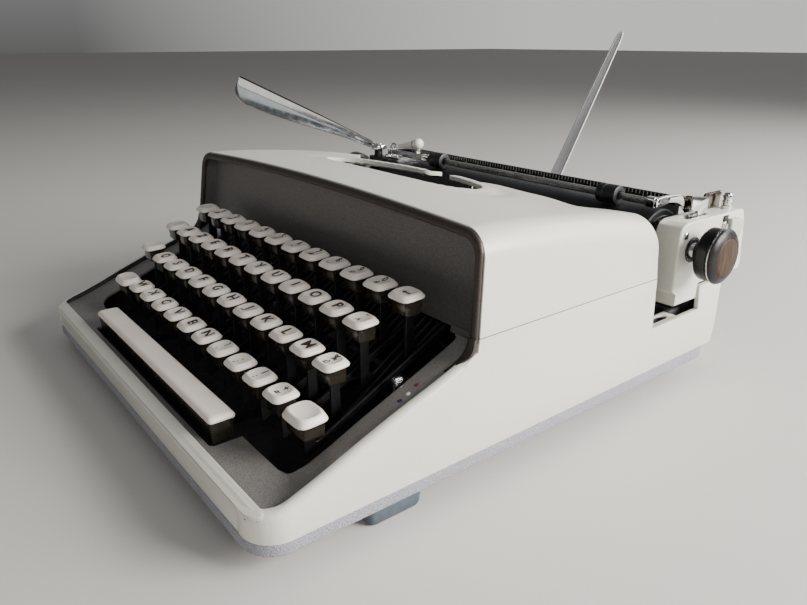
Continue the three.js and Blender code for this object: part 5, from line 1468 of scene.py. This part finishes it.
def build_bail():
    body = "paper_bail"
    bar = [prism("x", fillet([(BY - 0.9, BZ - 1.8), (BY + 0.9, BZ - 1.8), (BY + 0.9, BZ + 1.8), (BY - 0.9, BZ + 1.8)], 0.45, 4), -116.4, 122.5)]
    piece("bail_bar", bar, "bail_grey", body, [body], bev=0.0, smooth=40)
    arms = []
    for x0, x1 in ((121.4, 123.8), (-116, -113.6)):
        pts = [(BY - 2.2, BZ - 2.4), (BY + 4, BZ - 2.2), (266, 102.6), (274, 101.4), (281.5, 97.2), (BPY - 0.6, BPZ - 3.2), (BPY + 2.6, BPZ - 2.4), (BPY + 3.6, BPZ + 0.6), (BPY + 2.2, BPZ + 3.6), (282, 103.4), (277, 105.8), (268, 106.6), (BY + 3, BZ + 2.8), (BY - 2.2, BZ + 2.4)]
        arms.append(prism("x", fillet(pts, [0.8, 3, 8, 8, 4, 2, 2.4, 2.4, 3, 6, 6, 8, 3, 1.4], 5), x0, x1))
    ob = raw_object("bail_arms", arms, ["chrome"])
    bevel(ob, 0.5, 3, 50)
    finish_piece(ob, body, smooth=40)
    piece("bail_pins", [rod("x", 1.6, 121, 124.9, BPY, BPZ, 24, 0.2), rod("x", 1.6, -124.9, -114, BPY, BPZ, 24, 0.2)], "bright_steel", body, smooth=40)
    # folded clips that join the bar to its arms, and the wire loop under the handle
    clips = [prism("x", fillet([(BY - 2.3, BZ - 2.9), (BY + 2.3, BZ - 2.9), (BY + 2.3, BZ + 2.7), (BY - 2.3, BZ + 2.7)], 1.0, 5), 116.6, 122.2),
             prism("x", fillet([(BY - 2.0, BZ - 2.6), (BY + 2.0, BZ - 2.6), (BY + 2.0, BZ + 2.5), (BY - 2.0, BZ + 2.5)], 0.9, 5), -116.4, -111.5),
             prism("x", fillet([(BY - 2.1, BZ - 2.5), (BY + 2.1, BZ - 2.5), (BY + 2.1, BZ + 2.5), (BY - 2.1, BZ + 2.5)], 1.1, 5), -74.5, -67.5)]
    ob = raw_object("bail_clips", clips, ["chrome"])
    bevel(ob, 0.4, 3, 50)
    finish_piece(ob, body, smooth=40)
    loop = []
    for i in range(21):
        t = math.radians(-40 + 260 * i / 20)
        loop.append((-108.6 + 3.9 * math.cos(t), BY - 1.6, BZ + 3.0 + 3.6 * math.sin(t)))
    piece("bail_loop", [tube(loop, 0.7, 12)], "chrome", body, smooth=60)
    # tapering cream handle with a brown band and a round end
    a, b = Vector((-113.2, 256.8, 107.4)), Vector((-79.4, 256.8, 113.4))
    L = (b - a).length
    ang = math.degrees(math.atan2(b.z - a.z, b.x - a.x))
    def hand(prof):
        return turn((lambda p: ([(v[0] + a.x, v[1] + a.y, v[2] + a.z) for v in p[0]], p[1]))(lathe("x", prof, 0, 0, 40)), "Y", -ang, tuple(a))
    piece("bail_handle_cone", [hand([(0, 0), (0.8, 0.0), (1.05, 0.4), (1.6, L * 0.3), (2.3, L * 0.55), (3.0, L - 8.7), (2.9, L - 8.1), (0, L - 8.1)])], "key_cap", body, ["bail_handle"], smooth=50)
    piece("bail_handle_band", [hand([(0, L - 8.3), (3.0, L - 8.3), (3.35, L - 8.1), (3.45, L - 7.6), (3.35, L - 7.1), (3.0, L - 6.9), (0, L - 6.9)])], "brass", body, smooth=50)
    piece("bail_handle_end", [hand([(0, L - 7.0), (3.5, L - 7.0), (3.85, L - 6.4), (4.0, L - 5.2), (4.0, L - 3.4), (3.8, L - 2.2), (3.2, L - 1.1), (2.2, L - 0.35), (1.0, L - 0.05), (0, L)])], "key_cap", body, smooth=50)
    for nm, x in (("left", -57), ("right", 92)):
        p = [(2.5, x - 6.5), (4.7, x - 6.5), (5.3, x - 6.2), (5.5, x - 5.6), (5.5, x - 2.2), (5.2, x - 1.9), (5.2, x - 1.4), (5.5, x - 1.1), (5.5, x + 5.6), (5.3, x + 6.2), (4.7, x + 6.5), (2.5, x + 6.5)]
        piece("bail_roller_%s_rubber" % nm, [lathe("x", p, BY, BZ, 56)], "platen_rubber", "bail_roller_" + nm, ["bail_roller_" + nm], smooth=35)


def build_return_lever():
    body = "return_lever"
    piv, tip = Vector((-120, 247, 107.5)), Vector((-178, 160, 158.5))
    d = tip - piv
    L = d.length
    d.normalize()
    side = Vector((0.52, -0.33, -0.79))
    side = (side - d * side.dot(d)).normalized()
    nor = d.cross(side).normalized()
    S = [6, 22, 50, 84, L - 9, L - 3, L]
    W0 = [-2.6, -3.0, -3.6, -3.6, -3.6, -3.6, -3.4]
    W1 = [3.2, 4.4, 9.0, 15.0, 16.6, 12.0, 5.0]
    cs = smooth_curve([(s, w, 0) for s, w in zip(S[:5], W1[:5])], 8)
    # the tip's lower corner is a quarter round that meets the straight end
    arc = []
    for i in range(1, 15):
        t = math.radians(90 * i / 14)
        arc.append((L - 12.5 + 12.3 * math.sin(t), 4.4 + 12.2 * math.cos(t)))
    ss = [c[0] for c in cs if c[0] < L - 13] + [q[0] for q in arc]
    ww = [c[1] for c in cs if c[0] < L - 13] + [q[1] for q in arc]
    def at(s, w, n):
        return tuple(piv + d * s + side * w + nor * n)
    outer = []
    for s, w1 in zip(ss, ww):
        w0 = interp(s, S, W0)
        full = interp(s, [6, 30, 60, L], [1.2, 3.4, 4.6, 4.9])
        ridge = w0 + min(full * 0.62, (w1 - w0) * 0.4)
        mid = w0 + (interp(s, [6, 50, L], [3.0, 7.2, 9.6]) if True else 0)
        mid = min(mid, w0 + (w1 - w0) * 0.62)
        k = interp(s, [6, 30, 60], [0.25, 0.8, 1.0])
        sec = [(w0, -0.7 * k), (w0 + 0.12, -0.1 * k), (ridge - 0.35, 1.55 * k), (ridge, 1.8 * k), (ridge + 0.4, 1.75 * k), ((ridge + mid) / 2, 1.45 * k), (mid - 0.3, 1.05 * k), (mid, 0.82 * k), (mid + 0.3, 0.95 * k)]
        for j in range(1, 8):
            t = j / 7
            ww_ = mid + 0.3 + (w1 - mid - 0.3) * t
            sec.append((ww_, k * (0.95 - 0.25 * t - 1.5 * t * t)))
        outer.append((s, sec, k))
    rings = []
    for s, sec, k in outer:
        r = [at(s, w, n) for w, n in sec] + [at(s, w, n - 1.1) for w, n in sec[::-1]]
        rings.append(r)
    v, f = loft(rings)
    # the upper face, the folded edge and the curved lower face of the one chrome blade carry painted reflections: a
    # bright warm highlight, a dark reflection and a cool grey reflection
    n = len(rings[0])
    fm = []
    m = len(outer[0][1])
    for i in range(len(rings) - 1):
        for j in range(n):
            fm.append(1 if j < 2 else (2 if 6 <= j < m - 1 else 0))
    fm += [0, 0]
    ob = raw_object("return_lever_blade", [((v, f), 0)], ["chrome_painted_warm_highlight", "chrome_dark", "chrome_painted_cool_reflection"])
    ob.data.polygons.foreach_set("material_index", fm)
    finish_piece(ob, body, ["return_lever"], 22)
    # root: neck that sweeps down to the hub, and the hub on its pivot
    path = []
    P0, P1 = at(26, 0.6, 0.3), at(6, 0.2, 0.0)
    ctr = smooth_curve([at(20, 0.4, 0.2), at(10, 0.3, 0.0), (-121.0, 246.0, 108.3), (-117.5, 247.6, 108.0), (-113.4, 249.0, 107.8)], 6)
    rings = []
    for i, p in enumerate(ctr):
        p = Vector(p)
        a = Vector(ctr[min(i + 1, len(ctr) - 1)]) - Vector(ctr[max(i - 1, 0)])
        a.normalize()
        up = Vector((0, 0, 1))
        sd = a.cross(up).normalized()
        up = sd.cross(a).normalized()
        t = i / (len(ctr) - 1)
        hw, hh = 3.1 - 0.9 * t, 1.3 - 0.25 * t
        rings.append([tuple(p + sd * (hw * math.copysign(abs(math.cos(q)) ** 0.7, math.cos(q))) + up * (hh * math.copysign(abs(math.sin(q)) ** 0.7, math.sin(q)))) for q in [2 * math.pi * k / 20 for k in range(20)]])
    piece("return_lever_neck", [loft(rings)], "chrome", body, smooth=50)
    piece("return_lever_hub", [lathe("z", [(0, 105.9), (5.7, 105.9), (6.2, 106.3), (6.2, 108.7), (5.9, 109.2), (5.2, 109.4), (2.6, 109.5), (2.2, 110.2), (0, 110.3)], -120, 247, 40)], "chrome", body, smooth=40)
    # line-space selector
    b2 = "line_space_selector"
    lv = [lathe("z", [(0, 100.5), (2.5, 100.5), (2.8, 100.8), (2.8, 102.6), (2.5, 103), (0, 103)], -110, 249.6, 32)]
    piece("line_space_hub", lv, "chrome", b2, [b2], smooth=40)
    arm = [prism("y", fillet([(-109, 100.5), (-98.2, 100.5), (-98.2, 103.9), (-99.6, 103.9), (-99.8, 101.8), (-109, 101.8)], [0.3, 0.6, 0.6, 0.5, 0.8, 0.3], 4), 248.4, 250.8)]
    piece("line_space_arm", arm, "chrome", b2, bev=0.3, seg=2, ang=45, smooth=40)


def build_support():
    body = "paper_support"
    piv, d = Vector((18.4, 288, 88)), Vector((13.2, 38, 89.3)).normalized()
    n = Vector((0, -89.3, 38)).normalized()
    w = n.cross(d).normalized()
    rings = []
    for s, h in ((-6, 3.2), (-5.4, 4.1), (-4, 4.5), (4, 4.8), (20, 4.6), (40, 4.17), (60, 3.74), (80, 3.32), (100, 2.89), (107.8, 2.7), (110.8, 2.3), (112.2, 1.8), (112.8, 1.0)):
        sec = [(-h, -0.15), (-h + 0.25, -0.5), (-h * 0.5, -0.6), (h * 0.5, -0.6), (h - 0.25, -0.5), (h, -0.15), (h, 0.25), (h - 0.25, 0.5), (h * 0.62, 0.42), (h * 0.5, 0.2), (-h * 0.5, 0.2), (-h * 0.62, 0.42), (-h + 0.25, 0.5), (-h, 0.25)]
        rings.append([tuple(piv + d * s + w * a + n * b) for a, b in sec])
    piece("paper_support_strip", [loft(rings)], "support_grey", body, ["paper_support"], smooth=30)
    # bright hemmed edge
    for sgn, nm in ((1, "right"), (-1, "left")):
        pts, rr = [], []
        for s in (2, 30, 60, 90, 109.5):
            h = interp(s, [4, 20, 109, 113], [4.8, 4.6, 2.7, 1.4])
            pts.append(tuple(piv + d * s + w * (sgn * (h - 0.55)) + n * 0.12))
            rr.append(0.48)
        piece("paper_support_edge_" + nm, [tube(pts, rr, 10)], "chrome", body, smooth=60)


# ------------------------------------------------------------------ interior
def build_interior():
    keep_cad("main_frame", "chassis_steel", 0.35)
    keep_cad("key_lever_frame", "chassis_steel", 0.3)
    keep_cad("type_segment", "chassis_steel", 0.0, smooth=25)
    keep_cad("type_bars", "type_steel", 0.0, smooth=25)
    keep_cad("center_type_bar", "type_steel", 0.2)
    keep_cad("ribbon_vibrator", "chrome", 0.35)
    keep_cad("escapement_wheel", "brass", 0.2)
    sel = nodes["ribbon_selector"]
    build_selector()
    for nm, x in (("left", -95), ("right", 95)):
        p = [(2.35, 80.1), (21.4, 80.1), (22, 80.4), (22, 81.0), (21.4, 81.3), (17.5, 81.4), (17.5, 94.1), (21.4, 94.2), (22, 94.5), (22, 95.1), (21.4, 95.4), (8.0, 95.4), (7.4, 95.0), (5.6, 95.0), (5.0, 95.4), (2.35, 95.4)]
        piece("ribbon_spool_%s_reel" % nm, [lathe("z", p, x, 170, 64)], "black_plastic", "ribbon_spool_" + nm, ["ribbon_spool_" + nm], smooth=35)
    bell = [(0, 15.3), (2.6, 15.3), (3, 15.7), (3, 21.2), (8, 20.9), (13.6, 20.7), (14.8, 21.3), (15.2, 22.4), (15.0, 24.6), (14.0, 27.4), (12.2, 29.8), (9.8, 31.6), (6.6, 32.9), (3.2, 33.6), (0, 33.8)]
    piece("margin_bell_cup", [lathe("z", bell, 70, 264, 56)], "brass", "body", ["margin_bell"], smooth=40)
    drum = [(3.3, 16), (19.4, 16), (20, 16.5), (20, 28.8), (21.5, 29.0), (22, 29.4), (22, 31.1), (21.5, 31.5), (17.5, 31.5), (16.8, 30.9), (6, 30.9), (5.4, 31.5), (3.3, 31.5)]
    piece("mainspring_drum_case", [lathe("z", drum, -95, 264, 64)], "bright_steel", nodes["mainspring_drum"]["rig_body"], ["mainspring_drum"], smooth=35)


def build_selector():
    body = "ribbon_selector"
    y, z = 81.2, 24.0
    stem = prism("x", fillet([(y - 2.0, z + 2.3), (y + 2.0, z + 2.3), (y + 2.2, 50.5), (y - 2.2, 50.5)], 0.4, 3), 118.7, 120.1)
    piece("selector_stem", [stem], "bright_steel", body, [body], bev=0.2, seg=2, smooth=35)
    piece("selector_hub", [lathe("x", [(1.85, 117.8), (3.0, 117.8), (3.3, 118.1), (3.3, 120.9), (3.0, 121.2), (1.85, 121.2)], y, z, 32)], "bright_steel", body, smooth=40)
    # ribbed tab
    tab = [prism("x", fillet([(y - 2.4, 48.4), (y + 2.4, 48.4), (y + 2.4, 52.3), (y - 2.4, 52.3)], [0.3, 0.3, 1.2, 1.2], 6), 117.95, 120.45)]
    piece("selector_tab", tab, "bright_steel", body, bev=0.35, seg=3, ang=50, smooth=38)
    ribs = []
    for i in range(3):
        zz = 49.3 + i * 1.05
        ribs.append(tube([(118.0, y - 1.9, zz), (118.0, y + 1.9, zz)], 0.26, 10))
        ribs.append(tube([(120.4, y - 1.9, zz), (120.4, y + 1.9, zz)], 0.26, 10))
    for i in range(3):
        yy = y - 1.4 + i * 1.4
        ribs.append(tube([(118.3, yy, 52.2), (120.1, yy, 52.2)], 0.24, 10))
    piece("selector_ribs", ribs, "bright_steel", body, smooth=60)


# ------------------------------------------------------------------ surroundings
def build_floor():
    n = Nodes("floor_pale")
    base = lin(214, 210, 205)
    n.color(n.mix(n.rng(n.noise(3.0, 3.0), 0.0, 1.0, 0.3, 0.7), shade(base, 0.985), shade(base, 1.01)))
    n.rough(0.62)
    me = bpy.data.meshes.new("floor")
    s = 12.0
    me.from_pydata([(-s, -s, 0), (s, -s, 0), (s, s, 0), (-s, s, 0)], [], [(0, 1, 2, 3)])
    me.materials.append(n.m)
    ob = bpy.data.objects.new("floor", me)
    bpy.context.scene.collection.objects.link(ob)


def area(name, pos, target, size, power, color=(1, 1, 1), shape="RECTANGLE", size_y=None):
    li = bpy.data.lights.new(name, "AREA")
    li.energy, li.color, li.shape, li.size = power, color, shape, size
    if size_y:
        li.size_y = size_y
    ob = bpy.data.objects.new(name, li)
    ob.location = pos
    ob.rotation_euler = (Vector(target) - Vector(pos)).to_track_quat("-Z", "Y").to_euler()
    bpy.context.scene.collection.objects.link(ob)


def build_lights():
    w = bpy.data.worlds.new("studio")
    w.use_nodes = True
    t = w.node_tree
    bg = t.nodes["Background"]
    tc = t.nodes.new("ShaderNodeTexCoord")
    sep = t.nodes.new("ShaderNodeSeparateXYZ")
    t.links.new(tc.outputs["Generated"], sep.inputs[0])
    rp = t.nodes.new("ShaderNodeValToRGB")
    el = rp.color_ramp.elements
    stops = [(0.0, (0.30, 0.29, 0.28)), (0.47, (0.40, 0.39, 0.38)), (0.53, (0.95, 0.95, 0.95)), (0.62, (0.70, 0.70, 0.71)), (1.0, (0.55, 0.56, 0.58))]
    while len(el) < len(stops):
        el.new(0.5)
    for e, (p, c) in zip(el, stops):
        e.position, e.color = p, (*c, 1)
    mr = t.nodes.new("ShaderNodeMapRange")
    mr.inputs["From Min"].default_value = -1
    mr.inputs["From Max"].default_value = 1
    t.links.new(sep.outputs["Z"], mr.inputs["Value"])
    t.links.new(mr.outputs["Result"], rp.inputs["Fac"])
    # a pale wall far behind: brighter low down at the rear
    my = t.nodes.new("ShaderNodeMapRange")
    my.inputs["From Min"].default_value = 0.25
    my.inputs["From Max"].default_value = 0.75
    t.links.new(sep.outputs["Y"], my.inputs["Value"])
    mz = t.nodes.new("ShaderNodeMapRange")
    mz.inputs["From Min"].default_value = 0.50
    mz.inputs["From Max"].default_value = 0.22
    t.links.new(sep.outputs["Z"], mz.inputs["Value"])
    mm = t.nodes.new("ShaderNodeMath")
    mm.operation = "MULTIPLY"
    t.links.new(my.outputs["Result"], mm.inputs[0])
    t.links.new(mz.outputs["Result"], mm.inputs[1])
    mx = t.nodes.new("ShaderNodeMix")
    mx.data_type = "RGBA"
    t.links.new(mm.outputs[0], mx.inputs[0])
    t.links.new(rp.outputs["Color"], mx.inputs[6])
    mx.inputs[7].default_value = (3.4, 3.4, 3.3, 1)
    t.links.new(mx.outputs[2], bg.inputs["Color"])
    bg.inputs["Strength"].default_value = 0.20
    bpy.context.scene.world = w
    area("key", (1.10, 0.60, 0.60), (0.05, 0, 0.07), 0.7, 37, (1.0, 0.985, 0.955), size_y=0.55)
    area("rear", (0.55, 1.35, 0.85), (0.05, 0, 0.1), 1.2, 14, (1.0, 0.99, 0.975), size_y=0.6)
    area("front_fill", (1.25, -0.85, 0.65), (0, 0, 0.05), 0.9, 4.0, (0.98, 0.985, 1.0), size_y=0.7)
    area("top", (0.5, -0.1, 1.6), (0, 0.0, 0.05), 1.2, 2.8, (1, 1, 1), size_y=1.0)


build_casing()
build_keys()
build_carriage()
build_interior()
build_floor()
build_lights()
